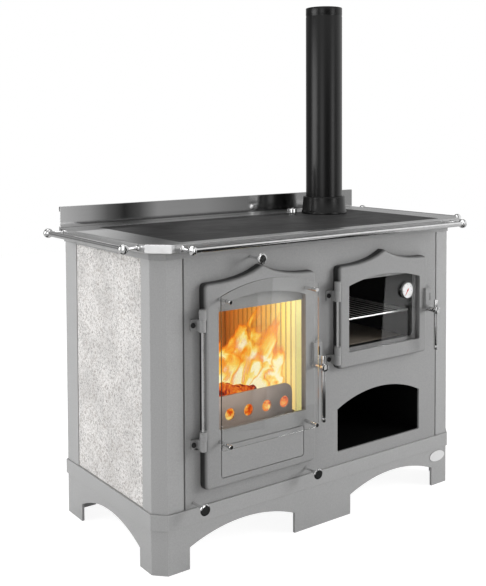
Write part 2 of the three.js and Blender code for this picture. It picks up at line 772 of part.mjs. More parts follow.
function logRetainer() {
  const { half: h, top, corner } = retainer;
  const x0 = fireDoor.centre - h;
  const x1 = fireDoor.centre + h;
  const shape = new THREE.Shape();
  shape.moveTo(x0, firebox.floor + gap);
  shape.lineTo(x1, firebox.floor + gap);
  shape.absarc(x1 - corner, top - corner, corner, 0, Math.PI / 2);
  shape.absarc(x0 + corner, top - corner, corner, Math.PI / 2, Math.PI);
  const rear = behind(retainer.ahead);
  const holes = [];
  for (let i = 0; i < retainer.holes; i += 1) {
    const x = fireDoor.centre + (i - (retainer.holes - 1) / 2) * retainer.holePitch;
    const place = [x, retainerHole.height];
    holes.push(bar('y', place, rear - 2 * retainer.thickness, rear + past, retainerHole.radius, 20));
  }
  return cut(upright(shape, rear, rear - retainer.thickness, 8), ...holes);
}

function smokeBaffle() {
  const low = firebox.floor + lining.height + 2 * gap;
  return block(
    [fireDoor.centre - shellHalf + gap, behind(baffle.front), low],
    [fireDoor.centre + shellHalf - gap, fireBack + lining.thickness, low + baffle.thickness]
  );
}

// An open tray with a finger slot near the top of its thick front.
function ashPan() {
  const { half: h, height, depth, wall } = ashDrawer;
  const x = fireDoor.centre;
  const low = ashMouth.bottom + gap;
  const high = low + height;
  const front = behind(ashDrawer.setBack);
  const back = front + depth;
  const slotTop = high - ashPull.below;
  return cut(
    block([x - h, front, low], [x + h, back, high]),
    block([x - h + wall, front + ashDrawer.front, low + wall], [x + h - wall, back - wall, high + past]),
    block(
      [x - ashPull.half, front - past, slotTop - ashPull.height],
      [x + ashPull.half, front + ashPull.depth, slotTop]
    )
  );
}

add('firebox_shell', fireboxShell(), finishes.darkPaint);
linings();
hearth();
add('log_retainer', logRetainer(), finishes.castIron);
add('smoke_baffle', smokeBaffle(), finishes.refractory);
add('ash_drawer', ashPan(), finishes.darkPaint);

// ------ oven and wood store

function ovenBox() {
  const s = oven.sheet;
  const x0 = ovenDoor.centre - oven.half;
  const x1 = ovenDoor.centre + oven.half;
  const back = rearFace - oven.rearSpace;
  const shell = cut(
    block([x0 - s, panelBack, oven.bottom - s], [x1 + s, back + s, oven.top + s]),
    block([x0, panelBack - past, oven.bottom], [x1, back, oven.top])
  );
  const top = shelf.z - shelf.wire - gap;
  const front = panelBack + runner.inset;
  const ledge = (xa, xb) => block([xa, front, top - runner.height], [xb, back + s / 2, top]);
  return join(shell, ledge(x0 - s / 2, x0 + runner.width), ledge(x1 - runner.width, x1 + s / 2));
}

// A wire shelf: an outer frame with thinner wires from front to back let into it.
function ovenShelf() {
  const { z, wire: r, thinWire } = shelf;
  const c = ovenDoor.centre;
  const x = oven.half - gap - r;
  const front = panelBack + shelf.inset + r;
  const rear = rearFace - oven.rearSpace - shelf.rearSpace;
  const wires = [
    bar('x', [front, z], c - x - r, c + x + r, r, 8),
    bar('x', [rear, z], c - x - r, c + x + r, r, 8),
    bar('y', [c - x, z], front, rear, r, 8),
    bar('y', [c + x, z], front, rear, r, 8),
  ];
  for (let i = 1; i < shelf.bays; i += 1) {
    const place = [c - x + (2 * x * i) / shelf.bays, z + r - thinWire];
    wires.push(bar('y', place, front, rear, thinWire, 6));
  }
  return join(...wires);
}

function woodStoreLiner() {
  const s = woodStore.sheet;
  const m = woodStore.margin;
  const x = niche.half + m;
  const low = niche.bottom - m;
  const high = niche.peak + m;
  const back = rearFace - woodStore.rearSpace;
  return cut(
    block([niche.centre - x - s, panelBack, low - s], [niche.centre + x + s, back + s, high + s]),
    block([niche.centre - x, panelBack - past, low], [niche.centre + x, back, high])
  );
}

add('oven_box', ovenBox(), finishes.darkPaint);
add('oven_shelf', ovenShelf(), finishes.chrome);
add('wood_store_liner', woodStoreLiner(), finishes.darkPaint);

// ------ doors

// The rounded casting of a door with its window cut through and a seat behind it for the pane.
function doorCasting(doorSize, windowSize) {
  const { proud, standOff, roundWidth, roundDepth } = door;
  const slab = new THREE.ExtrudeGeometry(doorOutline(doorSize), {
    depth: proud,
    bevelThickness: roundDepth,
    bevelSize: roundWidth,
    bevelOffset: -roundWidth,
    bevelSegments: 3,
    curveSegments: 6,
  });
  slab.rotateX(Math.PI / 2).translate(0, frontFace + roundDepth, 0);
  const reach = doorSize.half + past;
  const frontHalf = block(
    [doorSize.centre - reach, ahead(standOff), doorSize.bottom - past],
    [doorSize.centre + reach, ahead(proud + past), doorSize.peak + past]
  );
  const outline = arch({ centre: doorSize.centre, ...windowSize });
  const window = upright(outline, frontFace, ahead(proud + past));
  const margin = pane.margin + gap;
  const seatHalf = windowSize.half + margin;
  const seat = block(
    [doorSize.centre - seatHalf, frontFace, windowSize.bottom - margin],
    [doorSize.centre + seatHalf, ahead(standOff + door.rebate), windowSize.peak + margin]
  );
  return cut(common(slab, frontHalf), window, seat);
}

function doorPane(doorSize, windowSize, holes = []) {
  const front = ahead(door.standOff + door.rebate - gap);
  const reach = windowSize.half + pane.margin;
  const sheet = block(
    [doorSize.centre - reach, front, windowSize.bottom - pane.margin],
    [doorSize.centre + reach, front + pane.thickness, windowSize.peak + pane.margin]
  );
  return holes.length ? cut(sheet, ...holes) : sheet;
}

// The door's two ears, each a barrel round the hinge rod with a web to the door's edge.
function hingeEars(doorSize, heights) {
  const x = doorSize.centre - doorSize.half - hinge.fromDoor;
  const y = ahead(hinge.ahead);
  const ears = [];
  const bores = [];
  for (const [, low, high] of [heights.upper, heights.lower]) {
    ears.push(bar('z', [x, y], low + gap, high, ear.radius, 16));
    const web = x + hinge.fromDoor + ear.inset;
    ears.push(block([x, ahead(ear.front), low + gap], [web, ahead(ear.rear), high]));
    bores.push(bar('z', [x, y], low - past, high + past, hinge.rod + runningGap, 12));
  }
  return { ears, bores };
}

// A bracket on the body: a leaf on the panel with its screw, an arm and a barrel round the rod.
function hingeBracket(doorSize, [low, high]) {
  const x = doorSize.centre - doorSize.half - hinge.fromDoor;
  const y = ahead(hinge.ahead);
  const middle = (low + high) / 2;
  const leafX = x - hinge.leafReach;
  const leaf = block([leafX, ahead(gap), low], [x + hinge.rod, ahead(hinge.leaf), high]);
  const arm = block([x - hinge.rod, ahead(gap), low], [x + hinge.rod, y, high]);
  const barrel = bar('z', [x, y], low, high, hinge.barrel, 16);
  const screwFront = ahead(hinge.leaf + hingeScrew.proud);
  const screw = bar('y', [leafX + hingeScrew.inset, middle], screwFront, ahead(gap), hingeScrew.radius, 12);
  const bore = bar('z', [x, y], low - past, high + past, hinge.rod + gap, 12);
  return cut(join(leaf, arm, barrel, screw), bore);
}

function hingeRod(doorSize, heights) {
  const x = doorSize.centre - doorSize.half - hinge.fromDoor;
  return bar('z', [x, ahead(hinge.ahead)], heights.lower[0], heights.upper[2], hinge.rod, 12);
}

// The latch block and boss on the door's free edge, with a blind bore for the handle's spindle.
function latchBoss(doorSize, z) {
  const x = doorSize.centre + doorSize.half - latch.fromEdge;
  const edge = doorSize.centre + doorSize.half - latch.inset;
  const root = ahead(door.proud - latch.root);
  const front = ahead(door.proud + boss.proud);
  const catchBlock = block(
    [edge - latch.width, root, z],
    [edge, ahead(door.proud + latch.proud), z + latch.height]
  );
  const bore = bar('y', [x, z], front - past, ahead(boss.boreEnd), grip.spindle + runningGap, 12);
  return { solids: [catchBlock, bar('y', [x, z], front, root, boss.radius, 16)], bore };
}

// A handle: spindle and collar out of the door, a hub, and an upright grip bar through it.
function doorHandle(doorSize, { z, below }) {
  const place = [doorSize.centre + doorSize.half - latch.fromEdge, z];
  const hubRear = ahead(gripHub.rear);
  const bossFront = ahead(door.proud + boss.proud + gap);
  const gripPlace = [place[0], ahead(grip.ahead)];
  return join(
    bar('y', place, ahead(grip.ahead), ahead(boss.boreEnd + 2 * gap), grip.spindle, 12),
    bar('y', place, hubRear, bossFront, grip.collar, 16),
    bar('y', place, ahead(gripHub.front), hubRear, gripHub.radius, 20),
    bar('z', gripPlace, z - below, z + grip.above, grip.radius, 16)
  );
}

// The keeper on the body beside the door's latch, with its top and bottom edges sloped off.
function latchKeeper(doorSize, z) {
  const x0 = doorSize.centre + doorSize.half + strike.offset;
  const high = z + latch.height;
  const { proud, slope } = strike;
  const profile = polygon([
    [ahead(gap), z],
    [ahead(proud - slope), z],
    [ahead(proud), z + slope],
    [ahead(proud), high - slope],
    [ahead(proud - slope), high],
    [ahead(gap), high],
  ]);
  const slot = block(
    [x0 - past, ahead(strikeSlot.floor), z + strikeSlot.border],
    [x0 + strikeSlot.width, ahead(proud + past), high - strikeSlot.border]
  );
  return cut(sideways(profile, x0, x0 + strike.width), slot);
}

function hangDoor(prefix, doorSize, heights, z) {
  for (const [place, span] of Object.entries(heights)) {
    add(`${prefix}_hinge_bracket_${place}`, hingeBracket(doorSize, span), finishes.darkPaint);
  }
  add(`${prefix}_hinge_rod`, hingeRod(doorSize, heights), finishes.chrome);
  add(`${prefix}_latch_keeper`, latchKeeper(doorSize, z), finishes.paint);
}

// The closed lower part of the fire door: a recess for its cover in front, hollows behind.
function lowerDoorCuts() {
  const { centre: c, half: h, bottom } = fireDoor;
  const floor = ahead(door.proud - tray.recess);
  const outline = rectangle(c - tray.half, c + tray.half, tray.bottom, tray.top, tray.corner);
  const low = bottom + doorHollow.wall;
  const high = fireWindow.bottom - pane.margin - doorHollow.wall;
  const inner = h - doorHollow.wall;
  const rib = doorHollow.rib / 2;
  const edges = [-inner, -inner / 3 - rib, -inner / 3 + rib, inner / 3 - rib, inner / 3 + rib, inner];
  const cuts = [upright(outline, floor, ahead(door.proud + past), 4)];
  for (let i = 0; i < edges.length; i += 2) {
    cuts.push(block([c + edges[i], frontFace, low], [c + edges[i + 1], floor + doorHollow.floor, high]));
  }
  return cuts;
}

// The outer pane, arched at its top, stands off the door on four pins.
function outerPane(group) {
  const front = ahead(outerGlassSheet.ahead);
  const rear = front + outerGlassSheet.thickness;
  const holes = [];
  for (const [row, z] of [['top', pin.top], ['bottom', pin.bottom]]) {
    for (const [column, side] of [['left', -1], ['right', 1]]) {
      const place = [fireDoor.centre + side * pin.half, z];
      const tip = ahead(pin.tip);
      const stem = bar('y', place, ahead(pin.tip - pin.headLength), ahead(door.proud + gap), pin.radius, 12);
      const head = bar('y', place, tip, ahead(pin.tip - pin.headLength), pin.headRadius, 12);
      holes.push(bar('y', place, front - past, rear + past, pin.radius + gap, 12));
      add(`glass_pin_${row}_${column}`, join(stem, head), finishes.chrome, group);
    }
  }
  const sheet = upright(arch({ centre: fireDoor.centre, ...outerGlass }), rear, front);
  add('fire_outer_glass', cut(sheet, ...holes), finishes.glass, group);
}

function fireDoorAssembly() {
  const group = new THREE.Group();
  const { ears, bores } = hingeEars(fireDoor, fireHinge);
  const { solids, bore } = latchBoss(fireDoor, fireGrip.z);
  const casting = cut(doorCasting(fireDoor, fireWindow), ...lowerDoorCuts());
  add('fire_door_frame', cut(join(casting, ...ears, ...solids), ...bores, bore), finishes.paint, group);

  const reach = tray.half - tray.slit;
  const cover = rectangle(
    fireDoor.centre - reach,
    fireDoor.centre + reach,
    tray.bottom + tray.slit,
    tray.top - tray.slit,
    tray.corner - tray.slit
  );
  const coverRear = ahead(door.proud - tray.recess + gap);
  add('fire_door_lower_panel', upright(cover, coverRear, ahead(door.proud), 4), finishes.paint, group);
  add('fire_inner_glass', doorPane(fireDoor, fireWindow), finishes.glass, group);
  outerPane(group);
  stove.add(group);
}

function thermometerParts(group) {
  const { x, z, radius, depth, bezel, edge } = thermometer;
  const { radius: stem, length } = thermometerStem;
  const dial = depth - thermometer.dialDepth;
  const back = ahead(door.standOff + door.rebate);
  const profile = [
    [0, -length],
    [stem, -length],
    [stem, 0],
    [radius - edge, 0],
    [radius, edge],
    [radius, depth - edge],
    [radius - edge, depth],
    [radius - bezel, depth],
    [radius - bezel, dial],
    [0, dial],
  ];
  add('thermometer', turnedForwards(profile, [x, back, z], 32), finishes.dial, group);

  const pointer = polygon([
    [-needle.width / 2, -needle.tail],
    [needle.width / 2, -needle.tail],
    [needle.width / 2, 0],
    [needle.tipWidth / 2, needle.length],
    [-needle.tipWidth / 2, needle.length],
    [-needle.width / 2, 0],
  ]);
  const hubDisc = bar('y', [0, 0], -needle.thickness, 0, needle.hub, 12);
  const hand = join(upright(pointer, 0, -needle.thickness), hubDisc);
  const mesh = add('thermometer_needle', hand, finishes.red, group);
  mesh.rotation.y = THREE.MathUtils.degToRad(needle.angle);
  mesh.position.set(x, back - dial - gap, z);
}

function ovenDoorAssembly() {
  const group = new THREE.Group();
  const { ears, bores } = hingeEars(ovenDoor, ovenHinge);
  const { solids, bore } = latchBoss(ovenDoor, ovenGrip.z);
  const casting = join(doorCasting(ovenDoor, ovenWindow), ...ears, ...solids);
  add('oven_door_frame', cut(casting, ...bores, bore), finishes.paint, group);
  const place = [thermometer.x, thermometer.z];
  const stemHole = bar('y', place, ahead(door.proud), frontFace, thermometerStem.radius + runningGap, 16);
  add('oven_glass', doorPane(ovenDoor, ovenWindow, [stemHole]), finishes.glass, group);
  thermometerParts(group);
  stove.add(group);
}

hangDoor('fire', fireDoor, fireHinge, fireGrip.z);
fireDoorAssembly();
add('fire_handle', doorHandle(fireDoor, fireGrip), finishes.chrome);
hangDoor('oven', ovenDoor, ovenHinge, ovenGrip.z);
ovenDoorAssembly();
add('oven_handle', doorHandle(ovenDoor, ovenGrip), finishes.chrome);

// ------ knobs and badge

// A pull knob: a disc on a flared stem, and a stop behind the panel that ends its travel.
function pullKnob([x, z]) {
  const stopFront = -(panel.thickness + gap + knob.travel);
  const profile = [
    [0, stopFront - knob.stopLength],
    [knob.stopRadius, stopFront - knob.stopLength],
    [knob.stopRadius, stopFront],
    [knob.stem, stopFront],
    ...knobProfile,
  ];
  return turnedForwards(profile, [x, frontFace, z], 12);
}

for (const [name, place] of Object.entries(knobPlaces)) add(name, pullKnob(place), finishes.chrome);

function badgePlate() {
  const shape = new THREE.Shape();
  shape.absellipse(badge.x, badge.z, badge.halfWidth, badge.halfHeight, 0, 2 * Math.PI);
  return upright(shape, ahead(gap), ahead(gap + badge.thickness), 16);
}

add('badge_plate', badgePlate(), finishes.enamel);

// ---------------------------------------------------------------- centring

const reachForwards = rail.reach + rail.capRadius - hobFront;
const reachBackwards = rearFace + band.proud;
stove.position.y = (reachForwards - reachBackwards) / 2;

export default stove;
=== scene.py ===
"""Looks of the wood cookstove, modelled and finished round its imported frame."""

import logging
import math
from dataclasses import dataclass
from enum import Enum
from functools import cache, cached_property
from typing import Sequence

import bpy
from mathutils import Matrix, Vector


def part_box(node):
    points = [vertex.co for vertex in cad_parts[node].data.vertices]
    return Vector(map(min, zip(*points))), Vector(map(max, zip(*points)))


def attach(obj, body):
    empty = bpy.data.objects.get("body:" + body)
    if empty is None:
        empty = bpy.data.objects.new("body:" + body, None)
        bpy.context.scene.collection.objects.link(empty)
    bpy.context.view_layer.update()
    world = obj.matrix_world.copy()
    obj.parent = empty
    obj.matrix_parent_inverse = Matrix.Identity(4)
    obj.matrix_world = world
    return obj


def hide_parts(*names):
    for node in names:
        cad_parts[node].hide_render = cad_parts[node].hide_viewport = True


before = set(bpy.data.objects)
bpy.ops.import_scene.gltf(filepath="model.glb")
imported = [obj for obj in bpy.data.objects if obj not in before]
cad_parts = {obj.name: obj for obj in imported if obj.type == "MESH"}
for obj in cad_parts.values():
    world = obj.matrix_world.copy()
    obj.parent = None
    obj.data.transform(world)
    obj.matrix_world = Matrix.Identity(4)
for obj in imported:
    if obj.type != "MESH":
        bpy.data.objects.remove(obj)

log = logging.getLogger("cookstove")

MM = 0.001
FRONT_FACE = -210.25  # y of the body's front face, in mm
IMAGE_SIZE = (486, 586)

Colour = tuple[float, float, float, float]
Triple = tuple[float, float, float]
Profile = Sequence[tuple[float, float]]
Value = object


def srgb(red: float, green: float, blue: float) -> Colour:
    """Turn a colour as seen on a screen into the renderer's linear one.

    Args:
        red: Red from 0 to 255.
        green: Green from 0 to 255.
        blue: Blue from 0 to 255.

    Returns:
        Linear red, green and blue, and a full alpha.
    """
    shares = (channel / 255 for channel in (red, green, blue))
    linear = (share / 12.92 if share <= 0.04045 else ((share + 0.055) / 1.055) ** 2.4 for share in shares)
    return (*linear, 1.0)


def grey(level: float) -> Colour:
    """Return a neutral colour as seen on a screen, from 0 to 255."""
    return srgb(level, level, level)


def plain(level: float) -> Colour:
    """Return a neutral colour of that linear brightness."""
    return (level, level, level, 1.0)


def shaded(colour: Colour, factor: float) -> Colour:
    """Return a colour made darker or lighter by a factor."""
    return (*(min(1.0, channel * factor) for channel in colour[:3]), 1.0)


def ahead(distance: float) -> float:
    """Return the y in mm of a plane that far in front of the body's front face."""
    return FRONT_FACE - distance


def box_in_mm(node: str) -> tuple[Vector, Vector]:
    """Return a node's lowest and highest corners at rest, in mm."""
    low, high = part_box(node)
    return low / MM, high / MM


class Way(Enum):
    """The direction in which a turned piece grows from its first ring."""

    UP = (0.0, 0.0, 1.0)
    RIGHT = (1.0, 0.0, 0.0)
    LEFT = (-1.0, 0.0, 0.0)
    FORWARDS = (0.0, -1.0, 0.0)
    BACKWARDS = (0.0, 1.0, 0.0)

    @property
    def vector(self) -> Vector:
        """The direction as a vector."""
        return Vector(self.value)

    @property
    def turn(self) -> Triple:
        """The rotation that takes +Z to this direction."""
        return tuple(Vector((0, 0, 1)).rotation_difference(self.vector).to_euler())


# ---------------------------------------------------------------- the bench


class Bench:
    """The modelling steps that the sub-assemblies share."""

    SMOOTH_UNDER = math.radians(38)  # edges flatter than this are shaded smooth
    ROUND_OVER = math.radians(32)  # edges sharper than this are rounded
    FLAT_UNDER = math.radians(0.4)  # faces closer than this are one face

    @staticmethod
    def clear() -> None:
        """Leave edit mode and deselect everything."""
        if bpy.context.mode != "OBJECT":
            bpy.ops.object.mode_set(mode="OBJECT")
        bpy.ops.object.select_all(action="DESELECT")

    @staticmethod
    def take(piece: bpy.types.Object) -> None:
        """Select this piece alone and make it the active one."""
        Bench.clear()
        piece.select_set(True)
        bpy.context.view_layer.objects.active = piece

    @staticmethod
    def open(piece: bpy.types.Object) -> None:
        """Take a piece into edit mode with all of it selected."""
        Bench.take(piece)
        bpy.ops.object.mode_set(mode="EDIT")
        bpy.ops.mesh.select_all(action="SELECT")

    @staticmethod
    def named(name: str) -> bpy.types.Object:
        """Name the active object and its mesh, and return it."""
        piece = bpy.context.active_object
        piece.name = piece.data.name = name
        return piece

    @staticmethod
    def begin(name: str) -> bpy.types.Object:
        """Name the primitive just added, apply its place and open it for editing."""
        piece = Bench.named(name)
        bpy.ops.object.transform_apply(location=True, rotation=True, scale=True)
        bpy.ops.object.mode_set(mode="EDIT")
        bpy.ops.mesh.select_all(action="SELECT")
        return piece

    @staticmethod
    def close(piece: bpy.types.Object) -> bpy.types.Object:
        """Merge doubles, turn the faces outwards, leave edit mode and smooth the piece.

        Args:
            piece: The piece being edited.

        Returns:
            The same piece.
        """
        bpy.ops.mesh.select_all(action="SELECT")
        bpy.ops.mesh.remove_doubles(threshold=1e-6)
        bpy.ops.mesh.normals_make_consistent(inside=False)
        bpy.ops.object.mode_set(mode="OBJECT")
        bpy.ops.object.shade_smooth_by_angle(angle=Bench.SMOOTH_UNDER)
        return piece

    @staticmethod
    def turned(
        name: str, profile: Profile, place: Sequence[float], way: Way, sides: int, hollow: bool = False
    ) -> bpy.types.Object:
        """Turn a profile round an axis, as on a lathe.

        Args:
            name: The piece's name.
            profile: Radius and distance along the axis of each ring, in mm.
            place: The axis' starting point in mm.
            way: The direction of the axis.
            sides: How many sides a ring has.
            hollow: The profile comes back to its start and has no end faces.

        Returns:
            The finished piece.
        """
        Bench.clear()
        start = Vector(place) * MM
        radius, reach = profile[0]
        bpy.ops.mesh.primitive_circle_add(
            vertices=sides,
            radius=radius * MM,
            fill_type="NOTHING" if hollow else "NGON",
            location=start + way.vector * reach * MM,
            rotation=way.turn,
        )
        piece = Bench.begin(name)
        for next_radius, next_reach in profile[1:]:
            step = way.vector * (next_reach - reach) * MM
            bpy.ops.mesh.extrude_region_move(TRANSFORM_OT_translate={"value": step})
            growth = next_radius / radius
            if abs(growth - 1) > 1e-9:
                centre = start + way.vector * next_reach * MM
                bpy.ops.transform.resize(value=(growth,) * 3, center_override=centre)
            radius, reach = next_radius, next_reach
        return Bench.close(piece)

    @staticmethod
    def block(
        name: str, low: Sequence[float], high: Sequence[float], edge: float, segments: int = 2
    ) -> bpy.types.Object:
        """Make a block with rounded edges from its two corners.

        Args:
            name: The piece's name.
            low: Its lowest corner in mm.
            high: Its highest corner in mm.
            edge: Width of the rounding in mm.
            segments: Steps in the rounding.

        Returns:
            The finished piece.
        """
        Bench.clear()
        low_corner, high_corner = Vector(low) * MM, Vector(high) * MM
        bpy.ops.mesh.primitive_cube_add(size=1, location=(low_corner + high_corner) / 2)
        bpy.context.active_object.scale = high_corner - low_corner
        piece = Bench.begin(name)
        bpy.ops.mesh.bevel(offset=edge * MM, segments=segments, affect="EDGES")
        return Bench.close(piece)

    @staticmethod
    def copied(piece: bpy.types.Object, name: str, shift: Sequence[float]) -> bpy.types.Object:
        """Copy a piece, with a mesh of its own, to another place.

        Args:
            piece: The piece to copy.
            name: The copy's name.
            shift: How far it moves, in mm.

        Returns:
            The copy.
        """
        Bench.take(piece)
        bpy.ops.object.duplicate(linked=False)
        copy = Bench.named(name)
        copy.location = Vector(shift) * MM
        bpy.ops.object.transform_apply(location=True, rotation=False, scale=False)
        return copy

    @staticmethod
    def repeated(first: bpy.types.Object, nodes: Sequence[str]) -> list[bpy.types.Object]:
        """Copy the piece of the first of several like nodes to the places of the others.

        Args:
            first: The piece that stands for the first node.
            nodes: The nodes' names.

        Returns:
            A piece for each node.
        """
        start = box_in_mm(nodes[0])[0]
        shifts = [(node, box_in_mm(node)[0] - start) for node in nodes[1:]]
        pieces = [first, *(Bench.copied(first, f"{node}_finished", shift) for node, shift in shifts)]
        for piece, node in zip(pieces, nodes):
            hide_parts(node)
        return pieces

    @staticmethod
    def joined(name: str, pieces: Sequence[bpy.types.Object]) -> bpy.types.Object:
        """Join several pieces into one mesh.

        Args:
            name: The name of the whole.
            pieces: What it is joined from.

        Returns:
            The whole.
        """
        Bench.take(pieces[0])
        for piece in pieces:
            piece.select_set(True)
        bpy.ops.object.join()
        return Bench.named(name)

    @staticmethod
    def apply(piece: bpy.types.Object, kind: str, **settings: Value) -> None:
        """Add a modifier and apply it.

        Args:
            piece: The piece it shapes.
            kind: The modifier's type.
            **settings: Its properties.
        """
        Bench.take(piece)
        modifier = piece.modifiers.new(kind.lower(), kind)
        for name, value in settings.items():
            setattr(modifier, name, value)
        bpy.ops.object.modifier_apply(modifier=modifier.name)

    @staticmethod
    def refined(node: str, edge: float, segments: int = 2) -> bpy.types.Object:
        """Copy a node of the frame, round its sharp edges and mark them for wear.

        Args:
            node: The node's name.
            edge: Width of the rounding in mm.
            segments: Steps in the rounding.

        Returns:
            A new piece that stands for the node.
        """
        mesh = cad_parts[node].data.copy()
        mesh.materials.clear()
        piece = bpy.data.objects.new(f"{node}_finished", mesh)
        mesh.name = piece.name
        bpy.context.scene.collection.objects.link(piece)
        Bench.open(piece)
        bpy.ops.mesh.remove_doubles(threshold=2e-5)
        bpy.ops.mesh.dissolve_limited(angle_limit=Bench.FLAT_UNDER)
        bpy.ops.object.mode_set(mode="OBJECT")
        blank = bpy.data.materials.get("blank") or bpy.data.materials.new("blank")
        for _ in range(2):
            mesh.materials.append(blank)
        limits = {"limit_method": "ANGLE", "angle_limit": Bench.ROUND_OVER}
        Bench.apply(piece, "BEVEL", width=edge * MM, segments=segments, material=1, **limits)
        mesh = piece.data
        rounded = mesh.attributes.new("edge", "FLOAT", "FACE")
        rounded.data.foreach_set("value", [float(face.material_index) for face in mesh.polygons])
        for face in mesh.polygons:
            face.material_index = 0
        mesh.materials.clear()
        bpy.ops.object.shade_smooth_by_angle(angle=Bench.SMOOTH_UNDER)
        Bench.apply(piece, "WEIGHTED_NORMAL", keep_sharp=True, weight=60)
        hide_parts(node)
        return piece


# ---------------------------------------------------------------- node wiring


class Wiring:
    """Places the nodes of one tree and joins them."""

    def __init__(self, tree: bpy.types.NodeTree) -> None:
        """Keep the tree to be wired."""
        self.tree = tree

    @classmethod
    def bare(cls, owner: bpy.types.Material | bpy.types.World) -> "Wiring":
        """Clear the nodes of a material or a world and return its wiring."""
        owner.use_nodes = True
        owner.node_tree.nodes.clear()
        return cls(owner.node_tree)

    @cached_property
    def place(self) -> bpy.types.NodeSocket:
        """The place on the object, in metres."""
        return self.node("TexCoord").outputs["Object"]

    def feed(self, socket: bpy.types.NodeSocket, value: Value) -> None:
        """Set a socket to a value, or link it where the value is another socket."""
        if isinstance(value, bpy.types.NodeSocket):
            self.tree.links.new(value, socket)
        else:
            socket.default_value = value

    def fill(self, node: bpy.types.Node, values: dict[str | int, Value]) -> bpy.types.Node:
        """Set or link a node's inputs, by name or number, and return the node."""
        for name, value in values.items():
            self.feed(node.inputs[name], value)
        return node

    def node(
        self, kind: str, values: dict[str | int, Value] | None = None, **settings: Value
    ) -> bpy.types.Node:
        """Add a node.

        Args:
            kind: The node's type without its ShaderNode prefix.
            values: What to set or link to its inputs.
            **settings: The node's own properties.

        Returns:
            The node.
        """
        made = self.tree.nodes.new(f"ShaderNode{kind}")
        for name, value in settings.items():
            setattr(made, name, value)
        return self.fill(made, values or {})

    def show(self, shader: bpy.types.Node, kind: str = "OutputMaterial") -> None:
        """Make a shader the result of the tree."""
        self.node(kind, {"Surface": shader.outputs[0]})

    def math(self, operation: str, *values: Value, clamp: bool = False) -> bpy.types.NodeSocket:
        """Return the result of a sum on numbers or sockets."""
        return self.node("Math", dict(enumerate(values)), operation=operation, use_clamp=clamp).outputs[0]

    def times(self, first: Value, second: Value, clamp: bool = False) -> bpy.types.NodeSocket:
        """Return a product."""
        return self.math("MULTIPLY", first, second, clamp=clamp)

    def minus(self, first: Value, second: Value) -> bpy.types.NodeSocket:
        """Return a difference."""
        return self.math("SUBTRACT", first, second)

    def scaled(self, value: Value, factor: Value, start: Value, clamp: bool = False) -> bpy.types.NodeSocket:
        """Return a value times a factor, and a start added to it."""
        return self.math("MULTIPLY_ADD", value, factor, start, clamp=clamp)

    def vector(self, operation: str, first: Value, second: Value) -> bpy.types.NodeSocket:
        """Return the result of a sum on vectors."""
        return self.node("VectorMath", {0: first, 1: second}, operation=operation).outputs[0]

    def axes(self, vector: Value) -> bpy.types.NodeOutputs:
        """Return the X, Y and Z of a vector, by name."""
        return self.node("SeparateXYZ", {"Vector": vector}).outputs

    def marked(self, name: str) -> bpy.types.NodeSocket:
        """Return the piece's own attribute of that name."""
        return self.node("Attribute", attribute_name=name).outputs["Fac"]

    def mix(self, share: Value, first: Value, second: Value) -> bpy.types.NodeSocket:
        """Return a mix of two colours."""
        return self.node("Mix", {0: share, 6: first, 7: second}, data_type="RGBA").outputs[2]

    def span(
        self, value: Value, low: float, high: float, to_low: float = 0.0, to_high: float = 1.0
    ) -> bpy.types.NodeSocket:
        """Move a value smoothly from one span of numbers to another.

        Args:
            value: The value.
            low: Where its span starts.
            high: Where its span ends.
            to_low: What the start becomes.
            to_high: What the end becomes.

        Returns:
            The moved value.
        """
        ends = {"Value": value, "From Min": low, "From Max": high, "To Min": to_low, "To Max": to_high}
        return self.node("MapRange", ends, interpolation_type="SMOOTHSTEP").outputs[0]

    def ramp(self, value: Value, stops: Sequence[tuple[float, Colour]]) -> bpy.types.NodeSocket:
        """Turn a value into a colour.

        Args:
            value: A value from 0 to 1.
            stops: Positions and their colours.

        Returns:
            The colour between the stops.
        """
        made = self.node("ValToRGB", {"Fac": value})
        elements = made.color_ramp.elements
        while len(elements) < len(stops):
            elements.new(1.0)
        for element, (position, colour) in zip(elements, stops):
            element.position = position
            element.color = colour
        return made.outputs["Color"]

    def noise(
        self, place: Value, scale: Value, detail: float, roughness: float, warp: float = 0.0
    ) -> bpy.types.NodeSocket:
        """Make a cloudy noise.

        Args:
            place: Where it is read.
            scale: How fine it is, or how fine along each axis.
            detail: How many finer layers it has.
            roughness: How strong they are.
            warp: How far it is twisted.

        Returns:
            The noise from 0 to 1.
        """
        if isinstance(scale, tuple):
            place, scale = self.vector("MULTIPLY", place, scale), 1.0
        made = self.node("TexNoise", {"Vector": place, "Scale": scale, "Detail": detail})
        return self.fill(made, {"Roughness": roughness, "Distortion": warp}).outputs["Fac"]

    def effect(self, tree: bpy.types.NodeTree, **values: Value) -> bpy.types.NodeOutputs:
        """Place a shared effect on the object's own place.

        Args:
            tree: The effect.
            **values: Its inputs.

        Returns:
            Its outputs, by name.
        """
        made = self.node("Group", node_tree=tree)
        return self.fill(made, {"Place": self.place, **values}).outputs


